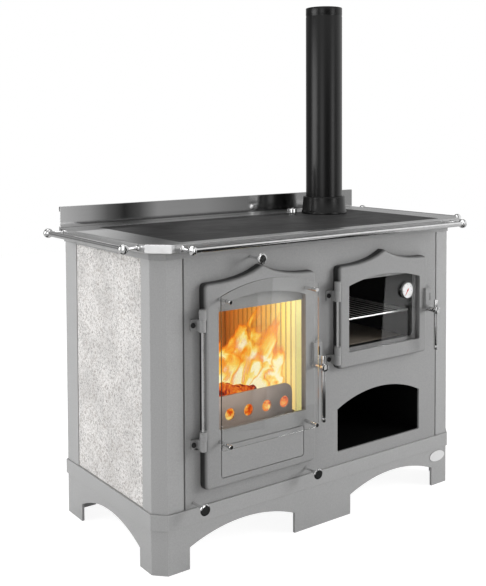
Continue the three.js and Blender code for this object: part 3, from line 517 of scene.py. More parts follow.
class Effects:
    """The effects that several finishes share, each a node group made once."""

    @staticmethod
    def open(name: str, takes: dict[str, Value], gives: Sequence[str]) -> tuple[Wiring, dict, dict]:
        """Start a node group.

        Args:
            name: The effect's name.
            takes: Its inputs and their usual values; a None is a vector.
            gives: The names of its outputs, all of them numbers.

        Returns:
            Its wiring, its input sockets and its output sockets, by name.
        """
        tree = bpy.data.node_groups.new(name, "ShaderNodeTree")
        for label, value in takes.items():
            kind = "NodeSocketVector" if value is None else "NodeSocketFloat"
            socket = tree.interface.new_socket(label, in_out="INPUT", socket_type=kind)
            if value is not None:
                socket.default_value = value
        for label in gives:
            tree.interface.new_socket(label, in_out="OUTPUT", socket_type="NodeSocketFloat")
        start = tree.nodes.new("NodeGroupInput")
        end = tree.nodes.new("NodeGroupOutput")
        inputs = {label: start.outputs[label] for label in takes}
        return Wiring(tree), inputs, {label: end.inputs[label] for label in gives}

    @staticmethod
    @cache
    def grain() -> bpy.types.NodeTree:
        """Fine grain with a slow unevenness under it: gives Tone and Height."""
        takes = {"Place": None, "Fineness": 900.0, "Cloud": 0.35}
        wiring, takes, gives = Effects.open("grain", takes, ["Tone", "Height"])
        fine = wiring.noise(takes["Place"], takes["Fineness"], 2.0, 0.6)
        cloud = wiring.noise(takes["Place"], 5.0, 4.0, 0.6)
        slow = wiring.times(wiring.minus(cloud, 0.5), takes["Cloud"])
        wiring.feed(gives["Tone"], wiring.math("ADD", fine, slow, clamp=True))
        wiring.feed(gives["Height"], fine)
        return wiring.tree

    @staticmethod
    @cache
    def wear() -> bpy.types.NodeTree:
        """Rubbed edges, broken up by noise: gives Mask."""
        wiring, takes, gives = Effects.open("wear", {"Place": None, "Amount": 0.5}, ["Mask"])
        patchy = wiring.span(wiring.noise(takes["Place"], 60.0, 4.0, 0.7), 0.35, 0.65)
        rubbed = wiring.times(wiring.marked("edge"), patchy)
        wiring.feed(gives["Mask"], wiring.times(rubbed, takes["Amount"], clamp=True))
        return wiring.tree

    @staticmethod
    @cache
    def strokes() -> bpy.types.NodeTree:
        """Long brush strokes: gives Tone and Height."""
        takes = {"Place": None, "Stretch": None, "Depth": 1.0}
        wiring, takes, gives = Effects.open("strokes", takes, ["Tone", "Height"])
        stretched = wiring.vector("MULTIPLY", takes["Place"], takes["Stretch"])
        fine = wiring.noise(stretched, 1.0, 5.0, 0.75)
        broad = wiring.noise(stretched, (0.08, 0.08, 0.08), 3.0, 0.5)
        both = wiring.math("ADD", wiring.times(fine, 0.6), wiring.times(broad, 0.4))
        wiring.feed(gives["Tone"], wiring.scaled(wiring.minus(both, 0.5), takes["Depth"], 0.5, clamp=True))
        wiring.feed(gives["Height"], fine)
        return wiring.tree

    @staticmethod
    @cache
    def soot() -> bpy.types.NodeTree:
        """Patches of soot and dust: gives Mask."""
        wiring, takes, gives = Effects.open("soot", {"Place": None, "Scale": 14.0, "Amount": 0.5}, ["Mask"])
        patches = wiring.span(wiring.noise(takes["Place"], takes["Scale"], 6.0, 0.65, 0.6), 0.38, 0.66)
        wiring.feed(gives["Mask"], wiring.times(patches, takes["Amount"], clamp=True))
        return wiring.tree


# ---------------------------------------------------------------- finishes


class Surface(Wiring):
    """The wiring of a material with one main shader."""

    def __init__(self, tree: bpy.types.NodeTree) -> None:
        """Place the main shader and show it."""
        super().__init__(tree)
        self.shader = self.node("BsdfPrincipled")
        self.show(self.shader)

    def set(self, values: dict[str, Value]) -> None:
        """Set or link inputs of the main shader, by name."""
        self.fill(self.shader, values)

    def bump(self, height: Value, strength: float, depth: float) -> None:
        """Raise the surface by a height, to a depth in mm."""
        made = self.node("Bump", {"Height": height, "Strength": strength, "Distance": depth * MM})
        self.set({"Normal": made.outputs["Normal"]})


class Finish:
    """Makes a material once and has the kind of finish wire it."""

    name: str

    @cache
    def material(self) -> bpy.types.Material:
        """Return the finish's material, making it the first time."""
        material = bpy.data.materials.new(self.name)
        self.wire(Surface.bare(material))
        return material

    def wire(self, surface: Surface) -> None:
        """Wire the finish into its main shader."""
        raise NotImplementedError


@dataclass(frozen=True)
class PaintedSteel(Finish):
    """Satin paint with a fine grain, on sheet or on a casting."""

    name: str
    colour: Colour
    worn: Colour
    roughness: float = 0.45
    fineness: float = 330.0
    contrast: float = 0.16
    grain_depth: float = 0.12
    wear: float = 0.15
    soot: float = 0.0
    shine: float = 0.4
    painted_shade: float = 0.0
    painted_shade_span: tuple[float, float] = (-0.2372, -0.226)  # y in metres where shade starts and is full

    def wire(self, surface: Surface) -> None:
        """Wire the grain, the rubbed edges, any soot and any painted shade at the foot of a wall.

        Args:
            surface: The material to wire.
        """
        grain = surface.effect(Effects.grain(), Fineness=self.fineness)
        dark, light = shaded(self.colour, 1 - self.contrast), shaded(self.colour, 1 + self.contrast)
        colour = surface.mix(grain["Tone"], dark, light)
        colour = surface.mix(surface.effect(Effects.wear(), Amount=self.wear)["Mask"], colour, self.worn)
        if self.soot:
            soot = surface.effect(Effects.soot(), Amount=self.soot)
            colour = surface.mix(soot["Mask"], colour, grey(14))
        # Painted shade: the outer walls of a door casting darken towards the sheet behind them.
        if self.painted_shade:
            depth = surface.span(surface.axes(surface.place)["Y"], *self.painted_shade_span)
            mask = surface.times(surface.times(surface.marked("wall"), depth), self.painted_shade)
            colour = surface.mix(mask, colour, grey(30))
        rough = surface.scaled(grain["Tone"], 0.12, self.roughness - 0.06)
        surface.set({"Base Color": colour, "Roughness": rough, "Specular IOR Level": self.shine})
        surface.bump(grain["Height"], 0.35, self.grain_depth)


@dataclass(frozen=True)
class BrushedSteel(Finish):
    """Bare steel with long fine strokes along one direction."""

    name: str
    colour: Colour
    stretch: Triple
    roughness: float = 0.3
    contrast: float = 0.2
    metal: float = 1.0
    shine: float = 0.5
    stain: float = 0.0

    def wire(self, surface: Surface) -> None:
        """Wire the strokes into colour, gloss and height.

        Args:
            surface: The material to wire.
        """
        strokes = surface.effect(Effects.strokes(), Stretch=self.stretch, Depth=1.6)
        dark, light = shaded(self.colour, 1 - self.contrast), shaded(self.colour, 1 + self.contrast)
        colour = surface.mix(strokes["Tone"], dark, light)
        colour = surface.mix(surface.effect(Effects.wear(), Amount=0.4)["Mask"], colour, light)
        rough = surface.scaled(strokes["Tone"], -0.16, self.roughness + 0.08)
        if self.stain:
            stain = surface.effect(Effects.soot(), Scale=7.0, Amount=self.stain)["Mask"]
            colour = surface.mix(stain, colour, dark)
            rough = surface.scaled(stain, 0.12, rough)
        surface.set({"Base Color": colour, "Roughness": rough})
        surface.set({"Metallic": self.metal, "Specular IOR Level": self.shine})
        surface.bump(strokes["Height"], 0.12, 0.05)


@dataclass(frozen=True)
class Chrome(Finish):
    """Bright plating with a few dull touches."""

    name: str
    colour: Colour
    roughness: float = 0.07

    def wire(self, surface: Surface) -> None:
        """Wire the dull touches into colour and gloss.

        Args:
            surface: The material to wire.
        """
        touch = surface.effect(Effects.soot(), Scale=40.0, Amount=1.0)["Mask"]
        colour = surface.mix(touch, self.colour, shaded(self.colour, 0.9))
        rough = surface.scaled(touch, 0.07, self.roughness)
        surface.set({"Base Color": colour, "Roughness": rough, "Metallic": 1.0})
        surface.bump(surface.effect(Effects.grain(), Fineness=1500.0)["Height"], 0.04, 0.02)


@dataclass(frozen=True)
class SpeckledStone(Finish):
    """Pale stone with grey and brown grains."""

    name: str
    pale: Colour
    middle: Colour
    dark: Colour
    warmth: Triple = (1.12, 0.98, 0.86)

    def wire(self, surface: Surface) -> None:
        """Wire three sizes of grain over a soft cloud.

        Args:
            surface: The material to wire.
        """
        coarse = surface.noise(surface.place, 150.0, 5.0, 0.78, 0.4)
        fine = surface.noise(surface.place, 420.0, 3.0, 0.75)
        cloud = surface.noise(surface.place, 9.0, 3.0, 0.5)
        tint = surface.noise(surface.place, 33.0, 2.0, 0.5)
        holes = surface.noise(surface.place, 230.0, 4.0, 0.8)
        body = surface.mix(surface.span(cloud, 0.3, 0.7), self.pale, self.middle)
        body = surface.mix(surface.times(surface.span(fine, 0.5, 0.66), 0.55), body, self.middle)
        warm = (*(channel * share for channel, share in zip(self.dark[:3], self.warmth)), 1.0)
        speck = surface.mix(surface.span(tint, 0.4, 0.6), self.dark, warm)
        colour = surface.mix(surface.times(surface.span(coarse, 0.48, 0.62), 0.7), body, speck)
        pits = surface.times(surface.span(holes, 0.52, 0.62), 0.7)
        rough = surface.scaled(coarse, 0.2, 0.6)
        surface.set({"Base Color": surface.mix(pits, colour, self.dark), "Roughness": rough})
        surface.set({"Specular IOR Level": 0.25})
        surface.bump(surface.minus(fine, pits), 0.4, 0.3)


@dataclass(frozen=True)
class CastIron(Finish):
    """Raw cast iron with a sandy skin."""

    name: str
    colour: Colour

    def wire(self, surface: Surface) -> None:
        """Wire the sandy skin and its ash.

        Args:
            surface: The material to wire.
        """
        grain = surface.effect(Effects.grain(), Fineness=500.0, Cloud=0.8)
        ash = surface.effect(Effects.soot(), Scale=26.0, Amount=0.5)["Mask"]
        colour = surface.mix(grain["Tone"], shaded(self.colour, 0.6), self.colour)
        rough = surface.scaled(grain["Tone"], 0.2, 0.6)
        surface.set({"Base Color": surface.mix(ash, colour, srgb(96, 90, 84)), "Roughness": rough})
        surface.set({"Metallic": 0.3})
        surface.bump(grain["Height"], 0.6, 0.4)


@dataclass(frozen=True)
class LitRefractory(Finish):
    """Fluted firebrick with the fire's light painted on as a glow, and painted shade as dark lines between
    its reeds.
    """

    name: str
    front: float  # where the row of reeds starts, in mm
    depth: float
    pitch: float
    axis: str = "Y"
    glow: float = 1.0
    colour: Colour = srgb(196, 178, 146)
    # Colours of the painted firelight, from the front to the rear.
    heat: tuple[tuple[float, Colour], ...] = (
        (0.0, srgb(255, 243, 150)),
        (0.14, srgb(255, 232, 104)),
        (0.4, srgb(228, 170, 68)),
        (0.66, srgb(190, 118, 44)),
        (0.88, srgb(156, 76, 26)),
        (1.0, srgb(104, 28, 8)),
    )

    def wire(self, surface: Surface) -> None:
        """Wire the painted firelight from the front to the rear, and the painted shade in the lines between
        reeds.

        Args:
            surface: The material to wire.
        """
        axes = surface.axes(surface.place)
        along = surface.minus(axes[self.axis], self.front * MM)
        warm = surface.ramp(surface.math("DIVIDE", along, self.depth * MM, clamp=True), self.heat)
        licks = surface.noise(surface.place, (3.0, 9.0, 5.0), 3.0, 0.5)
        # Painted light: the glow is brighter higher up and varies by noise.
        height = surface.span(axes["Z"], 0.38, 0.66, 0.62, 1.0)
        shade = surface.times(surface.span(licks, 0.3, 0.7, 0.8, 1.2), height)
        # Painted shade: the grooves between the reeds glow less.
        reed = surface.math("FRACT", surface.math("DIVIDE", along, self.pitch * MM))
        groove_shade = surface.span(surface.math("ABSOLUTE", surface.minus(reed, 0.5)), 0.26, 0.48, 1.0, 0.2)
        groove_shade = surface.math("MAXIMUM", groove_shade, surface.math("LESS_THAN", along, 0.6 * MM))
        strength = surface.times(surface.times(shade, groove_shade), self.glow)
        grain = surface.effect(Effects.grain(), Fineness=260.0, Cloud=0.6)
        colour = surface.mix(grain["Tone"], self.colour, shaded(self.colour, 1.15))
        surface.set({"Base Color": colour, "Emission Color": surface.mix(strength, plain(0.0), warm)})
        surface.set({"Emission Strength": 1.0, "Roughness": 0.85, "Specular IOR Level": 0.1})
        surface.bump(grain["Height"], 0.5, 0.5)


@dataclass(frozen=True)
class ClearGlass(Finish):
    """Heat-proof glass with a dark rim."""

    name: str
    colour: Colour = (0.975, 0.98, 0.975, 1.0)
    smeared: Colour = (0.94, 0.94, 0.93, 1.0)
    rim: Colour = (0.03, 0.04, 0.035, 1.0)

    def wire(self, surface: Surface) -> None:
        """Wire faint smears over a clear pane, and its rim.

        Args:
            surface: The material to wire.
        """
        smear = surface.effect(Effects.soot(), Scale=5.0, Amount=1.0)["Mask"]
        clear = surface.mix(smear, self.colour, self.smeared)
        surface.set({"Base Color": surface.mix(surface.marked("rim"), clear, self.rim)})
        surface.set({"Roughness": 0.0, "IOR": 1.46, "Transmission Weight": 1.0})


@dataclass(frozen=True)
class Enamel(Finish):
    """Plain smooth enamel or plastic."""

    name: str
    colour: Colour
    roughness: float = 0.25

    def wire(self, surface: Surface) -> None:
        """Wire a faint unevenness.

        Args:
            surface: The material to wire.
        """
        grain = surface.effect(Effects.grain(), Fineness=400.0, Cloud=0.5)
        colour = surface.mix(grain["Tone"], shaded(self.colour, 0.93), self.colour)
        surface.set({"Base Color": colour, "Roughness": surface.scaled(grain["Tone"], 0.08, self.roughness)})
        surface.bump(grain["Height"], 0.1, 0.03)


@dataclass(frozen=True)
class Flame(Finish):
    """A sheet of flame, torn at its edges, on the piece's own UV map."""

    name: str
    strength: float = 1.15
    lean: float = -0.7  # how far the tongues drift sideways for their height
    heat: tuple[tuple[float, Colour], ...] = (
        (0.0, srgb(206, 70, 14)),
        (0.22, srgb(242, 116, 26)),
        (0.45, srgb(252, 160, 46)),
        (0.66, srgb(255, 206, 84)),
        (0.86, srgb(255, 238, 150)),
        (1.0, srgb(255, 248, 204)),
    )

    def wire(self, surface: Surface) -> None:
        """Wire the torn outline and the heat from core to tip.

        Args:
            surface: The material to wire.
        """
        sheet = surface.axes(surface.node("UVMap").outputs["UV"])
        height = surface.axes(surface.place)["Z"]
        drift = surface.node("CombineXYZ", {"X": surface.times(height, self.lean)}).outputs[0]
        leaning = surface.vector("ADD", surface.place, drift)
        tongues = surface.noise(leaning, (15.0, 15.0, 6.0), 2.0, 0.5, 1.0)
        wisps = surface.noise(surface.place, (80.0, 80.0, 18.0), 3.0, 0.6, 0.8)
        swirl = surface.noise(leaning, (22.0, 22.0, 7.0), 2.0, 0.4, 1.2)
        torn = surface.math("ADD", surface.times(tongues, 0.85), surface.times(wisps, 0.15))
        torn = surface.minus(torn, 0.5)
        edge = surface.minus(1.0, surface.math("ABSOLUTE", surface.scaled(sheet["X"], 2.0, -1.0)))
        sides = surface.span(surface.scaled(torn, 2.2, edge), 0.06, 0.5)
        top = surface.span(surface.scaled(torn, -1.05, sheet["Y"]), 0.5, 1.0, 1.0, 0.0)
        outline = surface.times(sides, top)
        heat = surface.times(outline, surface.span(swirl, 0.3, 0.6, 0.6, 1.12), clamp=True)
        surface.set({"Emission Color": surface.ramp(heat, self.heat), "Emission Strength": self.strength})
        surface.set({"Base Color": surface.mix(heat, grey(8), srgb(60, 20, 6))})
        surface.set({"Alpha": surface.span(outline, 0.02, 0.6, 0.0, 0.94)})
        surface.set({"Specular IOR Level": 0.0, "Roughness": 1.0})


@dataclass(frozen=True)
class Ember(Finish):
    """Burning wood: black char with glowing cracks."""

    name: str
    glow: float
    cover: float
    heat: tuple[tuple[float, Colour], ...] = (
        (0.0, srgb(40, 6, 2)),
        (0.25, srgb(170, 34, 8)),
        (0.5, srgb(236, 92, 20)),
        (0.75, srgb(253, 160, 50)),
        (1.0, srgb(255, 226, 130)),
    )

    def wire(self, surface: Surface) -> None:
        """Wire the char and the glow in its cracks.

        Args:
            surface: The material to wire.
        """
        flow = surface.noise(surface.place, 38.0, 5.0, 0.65, 1.5)
        broad = surface.noise(surface.place, 11.0, 2.0, 0.5)
        heat = surface.math("ADD", surface.times(flow, 0.7), surface.times(broad, 0.3))
        heat = surface.span(heat, self.cover - 0.14, self.cover + 0.2)
        surface.set({"Emission Color": surface.ramp(heat, self.heat), "Emission Strength": self.glow})
        surface.set({"Base Color": surface.mix(heat, grey(20), srgb(90, 50, 30)), "Roughness": 0.9})
        surface.bump(flow, 0.6, 1.5)


@dataclass(frozen=True)
class Finishes:
    """Every finish on the stove."""

    paint: Finish = PaintedSteel("paint", grey(150), grey(196))
    # The door paint darkens the casting's outer walls towards the sheet: painted shade.
    door_paint: Finish = PaintedSteel("door_paint", grey(146), grey(190), painted_shade=0.95)
    rear_paint: Finish = PaintedSteel("rear_paint", grey(44), grey(80), roughness=0.6, soot=0.15, shine=0.2)
    # The base's and the posts' paint is the same grey made lighter: painted light from the floor's bounce on
    # the base, and a painted highlight on the posts.
    base_paint_with_painted_light: Finish = PaintedSteel("base_paint_with_painted_light", grey(163), grey(200))
    post_paint_with_painted_light: Finish = PaintedSteel("post_paint_with_painted_light", grey(163), grey(204))
    oven_floor: Finish = PaintedSteel("oven_floor", srgb(142, 132, 120), grey(170), roughness=0.4, soot=0.15)
    oven_enamel: Finish = PaintedSteel("oven_enamel", grey(13), grey(30), roughness=0.5, shine=0.2)
    dark_paint: Finish = PaintedSteel("dark_paint", grey(44), grey(80), roughness=0.6, soot=0.5, shine=0.2)
    flue_enamel: Finish = PaintedSteel(
        "flue_enamel", grey(10), grey(36), roughness=0.3, contrast=0.12, shine=0.3
    )
    retainer_steel: Finish = PaintedSteel(
        "retainer_steel", srgb(205, 186, 174), grey(186), roughness=0.5, soot=0.12
    )
    refractory: Finish = PaintedSteel(
        "refractory", srgb(176, 160, 132), srgb(200, 186, 160), roughness=0.85, fineness=300.0, contrast=0.12,
        grain_depth=0.4, wear=0.6, soot=0.5, shine=0.1,
    )
    shelf_wire: Finish = BrushedSteel(
        "shelf_wire", grey(225), (300.0, 9.0, 300.0), roughness=0.4, contrast=0.1, metal=0.55
    )
    stainless: Finish = BrushedSteel("stainless", grey(214), (9.0, 900.0, 900.0))
    satin_steel: Finish = BrushedSteel(
        "satin_steel", grey(208), (5.0, 300.0, 300.0), roughness=0.1, contrast=0.06
    )
    hob_steel: Finish = BrushedSteel(
        "hob_steel", grey(60), (14.0, 700.0, 700.0), roughness=0.5, contrast=0.3,
        metal=0.25, shine=0.2, stain=0.6,
    )
    stone: Finish = SpeckledStone("stone", srgb(222, 220, 218), srgb(200, 198, 196), srgb(122, 119, 117))
    chrome: Finish = Chrome("chrome", grey(228))
    bezel: Finish = Chrome("bezel", grey(190), roughness=0.2)
    cast_iron: Finish = CastIron("cast_iron", grey(58))
    # The linings' glow is painted firelight; the back lining's is dimmer.
    side_lining: Finish = LitRefractory("side_lining", front=-168.25, depth=347.7, pitch=23.18)
    back_lining: Finish = LitRefractory("back_lining", -436.0, 391.0, 23.0, axis="X", glow=0.45)
    flame: Finish = Flame("flame")
    burning_log: Finish = Ember("burning_log", glow=0.95, cover=0.46)
    ember: Finish = Ember("ember", glow=1.0, cover=0.44)
    glass: Finish = ClearGlass("glass")
    dial: Finish = Enamel("dial", grey(238))
    needle_red: Finish = Enamel("needle_red", srgb(200, 26, 24))
    enamel: Finish = Enamel("enamel", grey(222))
    scale_ink: Finish = Enamel("scale_ink", grey(60), roughness=0.5)
    board_black: Finish = Enamel("board_black", plain(0.01), roughness=1.0)


FINISHES = Finishes()


def dress(piece: bpy.types.Object, finish: Finish, body: str = "stove") -> None:
    """Give a piece its finish and its body, and log it.

    Args:
        piece: The finished piece.
        finish: What it wears.
        body: The body it rides on.
    """
    piece.data.materials.clear()
    piece.data.materials.append(finish.material())
    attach(piece, body)
    log.info("%s: %d faces on %s", piece.name, len(piece.data.polygons), body)


def carry_over(nodes: Sequence[str], edge: float, finish: Finish, body: str = "stove") -> None:
    """Copy nodes of the frame with rounded edges and dress the copies.

    Args:
        nodes: The nodes' names.
        edge: Width of the rounding in mm.
        finish: What they wear.
        body: The body they ride on.
    """
    for node in nodes:
        dress(Bench.refined(node, edge), finish, body)


# ---------------------------------------------------------------- the studio


@dataclass(frozen=True)
class Lamp:
    """A square lamp that faces a target, in metres and watts."""

    name: str
    place: Triple
    target: Triple
    size: float
    power: float
    mirrored: bool = True

    def hang(self) -> None:
        """Hang the lamp."""
        data = bpy.data.lights.new(self.name, "AREA")
        data.shape = "SQUARE"
        data.size = self.size
        data.energy = self.power
        lamp = bpy.data.objects.new(self.name, data)
        lamp.location = self.place
        lamp.visible_glossy = self.mirrored
        facing = Vector(self.target) - Vector(self.place)
        lamp.rotation_euler = facing.to_track_quat("-Z", "Y").to_euler()
        bpy.context.scene.collection.objects.link(lamp)


@dataclass(frozen=True)
class Board:
    """A board that stands before the stove, its right edge between two points, in metres."""

    name: str
    top: Triple
    bottom: Triple
    width: float

    def stand(self) -> None:
        """Stand the board, seen square from the stove."""
        edge = Vector(self.top) - Vector(self.bottom)
        upright = edge.normalized()
        outwards = Vector((self.top[0], self.top[1], 0)).normalized()
        aside = outwards.cross(Vector((0, 0, 1)))
        aside = (aside - upright * aside.dot(upright)).normalized()
        middle = (Vector(self.top) + Vector(self.bottom)) / 2 + aside * self.width / 2
        board = Studio.plane(self.name, 1, (0, 0, 0))
        turned = Matrix((aside, upright, aside.cross(upright))).transposed().to_4x4()
        size = Matrix.Diagonal((self.width, edge.length, 1, 1))
        board.matrix_world = Matrix.Translation(middle) @ turned @ size
        Studio.hide(board, FINISHES.board_black.material(), in_glass=True)


@dataclass
class Studio:
    """Floor, light and camera."""

    camera_place: Triple = (-1.7215, -2.11345, 1.1476)
    camera_turn: float = 35.211  # degrees to the right of +Y
    camera_drop: float = 2.421
    camera_roll: float = -0.323
    focal_pixels: float = 891.388
    principal_point: tuple[float, float] = (214.986, 166.727)
    sensor_width: float = 36.0
    ambient: float = 0.35
    floor_size: float = 11.0
    floor_drop: float = 0.0008
    mat_size: tuple[float, float] = (2.2, 1.5)
    mat_place: Triple = (0.0, -0.45, 0.001)
    card_front: float = 0.18
    card_middle: float = 0.94
    card_height: float = 0.156
    # Degrees to the right of -Y, and how bright the studio is there.
    compass: tuple[tuple[float, float], ...] = (
        (-180, 0.25), (-125, 0.2), (-70, 0.3), (-61, 2.4), (-47, 2.4), (-39, 0.14),
        (-12, 0.08), (5, 0.3), (10, 3.8), (20, 3.8), (28, 0.35), (38, 0.33),
        (44, 0.34), (56, 1.0), (98, 1.0), (120, 0.5), (150, 0.5), (180, 0.25),
    )
    # Metres along the splashback, and how bright the card is there.
    card: tuple[tuple[float, float], ...] = (
        (-0.6, 0.66), (-0.53, 0.6), (-0.44, 0.4), (-0.375, 0.14), (-0.315, 0.03),
        (-0.26, 0.1), (-0.19, 0.36), (0.0, 0.34), (0.12, 0.24), (0.19, 0.2),
    )
    boards: tuple[Board, ...] = (
        Board("board_fire", (0.415, -1.05, 0.9), (0.37, -1.08, -0.05), 0.4),
        Board("board_oven", (0.92, -0.88, 0.6), (0.89, -0.9, 0.1), 0.24),
    )
    lamps: tuple[Lamp, ...] = (
        Lamp("side_lamp", (-3.3, 1.1, 1.5), (-0.6, 0.1, 0.5), size=2.2, power=70),
        Lamp("front_lamp", (2.9, -3.0, 1.8), (0.2, -0.2, 0.5), size=1.8, power=104, mirrored=False),
        Lamp("top_lamp", (-0.4, 0.2, 4.4), (0, 0, 0.8), size=3.0, power=60),
    )

    def build(self) -> None:
        """Build all of the studio."""
        bpy.context.scene.view_settings.view_transform = "Standard"
        self.lay_floor()
        self.light_world()
        for board in self.boards:
            board.stand()
        self.lay_mat()
        self.set_card()
        for lamp in self.lamps:
            lamp.hang()
        self.set_camera()

    @staticmethod
    def plane(name: str, size: float, place: Sequence[float]) -> bpy.types.Object:
        """Add a level square.

        Args:
            name: Its name.
            size: Its width in metres.
            place: Its middle in metres.

        Returns:
            The square.
        """
        Bench.clear()
        bpy.ops.mesh.primitive_plane_add(size=size, location=place)
        return Bench.named(name)

    @staticmethod
    def hide(board: bpy.types.Object, material: bpy.types.Material, in_glass: bool = False) -> None:
        """Leave a board to gloss alone, hidden from the camera, from diffuse light and from shadows.

        Args:
            board: The board.
            material: What covers it.
            in_glass: Whether it shows inside glass too.
        """
        board.data.materials.append(material)
        for sight in ("camera", "diffuse", "shadow", "volume_scatter"):
            setattr(board, f"visible_{sight}", False)
        board.visible_transmission = in_glass

    def lay_floor(self) -> None:
        """Lay a wide pale floor that shows white and keeps a soft shadow."""
        floor = self.plane("floor", self.floor_size, (0, 0, -self.floor_drop))
        material = bpy.data.materials.new("floor_white")
        wiring = Wiring.bare(material)
        path = wiring.node("LightPath").outputs
        mirrored = wiring.math("MAXIMUM", path["Is Glossy Ray"], path["Is Transmission Ray"])
        seen = wiring.math("MAXIMUM", path["Is Camera Ray"], mirrored)
        matt = wiring.node("BsdfDiffuse", {"Color": wiring.mix(seen, plain(0.86), plain(0.3))})
        strength = wiring.scaled(path["Is Camera Ray"], 0.68, 0.22)
        bright = wiring.node("Emission", {"Color": plain(1.0), "Strength": strength})
        wiring.show(wiring.node("AddShader", {0: matt.outputs[0], 1: bright.outputs[0]}))
        floor.data.materials.append(material)

    def light_world(self) -> None:
        """Fill the world with an even light that shows white, and give gloss a studio to mirror."""
        world = bpy.data.worlds.new("studio")
        wiring = Wiring.bare(world)
        path = wiring.node("LightPath").outputs
        axes = wiring.axes(wiring.node("TexCoord").outputs["Generated"])
        beyond = wiring.times(path["Is Transmission Ray"], wiring.math("GREATER_THAN", axes["Y"], 0.0))
        clear = wiring.math("MAXIMUM", path["Is Camera Ray"], beyond)
        turned_back = wiring.math("MAXIMUM", path["Is Glossy Ray"], path["Is Transmission Ray"])
        mirrored = wiring.times(turned_back, wiring.minus(1.0, clear))
        even = wiring.scaled(clear, 1.0 - self.ambient, self.ambient)
        levels = {0: mirrored, 2: even, 3: self.mirrored_studio(wiring, axes)}
        shown = wiring.node("Mix", levels, data_type="FLOAT").outputs[0]
        background = wiring.node("Background", {"Color": plain(1.0), "Strength": shown})
        wiring.show(background, "OutputWorld")
        bpy.context.scene.world = world

    def mirrored_studio(self, wiring: Wiring, axes: bpy.types.NodeOutputs) -> bpy.types.NodeSocket:
        """Return how bright the studio is in each direction, as gloss mirrors it.

        Args:
            wiring: The world's wiring.
            axes: The direction, by its axes.

        Returns:
            A brightness that follows the compass near the horizon and the sky above it.
        """
        bearing = wiring.math("ARCTAN2", axes["X"], wiring.times(axes["Y"], -1.0))
        share = wiring.scaled(bearing, 1 / math.tau, 0.5)
        near = wiring.ramp(share, [((degrees + 180) / 360, plain(level)) for degrees, level in self.compass])
        sky = wiring.ramp(axes["Z"], [(0.0, plain(1.0)), (0.6, plain(1.0)), (0.8, plain(0.26))])
        rear_sky = wiring.ramp(axes["Z"], [(0.3, plain(0.5)), (0.5, plain(0.12))])
        sky = wiring.mix(wiring.span(axes["Y"], -0.1, 0.25), sky, rear_sky)
        both = wiring.mix(wiring.span(axes["Z"], 0.16, 0.42), near, sky)
        return wiring.node("RGBToBW", {"Color": both}).outputs[0]

    def lay_mat(self) -> None:
        """Lay a dark mat before the base."""
        mat = self.plane("board_floor", 1, self.mat_place)
        mat.scale = (*self.mat_size, 1)
        self.hide(mat, FINISHES.board_black.material())

    def set_card(self) -> None:
        """Set a card with shades of grey before the splashback."""
        material = bpy.data.materials.new("card_grey")
        wiring = Wiring.bare(material)
        low, high = self.card[0][0], self.card[-1][0]
        share = wiring.scaled(wiring.axes(wiring.place)["X"], 1 / (high - low), -low / (high - low))
        stops = [((x - low) / (high - low), plain(level)) for x, level in self.card]
        wiring.show(wiring.node("Emission", {"Color": wiring.ramp(share, stops), "Strength": 1.0}))
        card = self.plane("card_splashback", 1, ((low + high) / 2, self.card_front, self.card_middle))
        card.rotation_euler.x = math.radians(90)
        card.scale = (high - low, self.card_height, 1)
        bpy.ops.object.transform_apply(location=True, rotation=True, scale=True)
        self.hide(card, material)

    def set_camera(self) -> None:
        """Set the camera where the photograph was taken from."""
        degrees = (self.camera_turn, self.camera_drop, self.camera_roll)
        yaw, pitch, roll = (math.radians(angle) for angle in degrees)
        look = Vector((math.sin(yaw) * math.cos(pitch), math.cos(yaw) * math.cos(pitch), -math.sin(pitch)))
        right = Vector((math.cos(yaw), -math.sin(yaw), 0))
        up = right.cross(look)
        turned_right = right * math.cos(roll) + up * math.sin(roll)
        turned_up = up * math.cos(roll) - right * math.sin(roll)
        rows = Matrix((turned_right, turned_up, -look)).transposed()
        data = bpy.data.cameras.new("camera")
        width, height = IMAGE_SIZE
        data.sensor_width = self.sensor_width
        data.lens = self.focal_pixels * data.sensor_width / height
        data.shift_x = (width / 2 - self.principal_point[0]) / height
        data.shift_y = (self.principal_point[1] - height / 2) / height
        data.clip_end = 100
        camera = bpy.data.objects.new("camera", data)
        camera.matrix_world = Matrix.Translation(self.camera_place) @ rows.to_4x4()
        bpy.context.scene.collection.objects.link(camera)
        bpy.context.scene.camera = camera


# ---------------------------------------------------------------- the stove


@dataclass
class Base:
    """The arched plinth with the band over it and the oval plate."""

    round_edge: float = 1.2
    plate_edge: float = 0.6

    def build(self) -> None:
        """Build the plates of the plinth and the oval plate."""
        plates = ("base_front", "base_surround", "base_band")
        carry_over(plates, self.round_edge, FINISHES.base_paint_with_painted_light)
        carry_over(("badge_plate",), self.plate_edge, FINISHES.enamel)


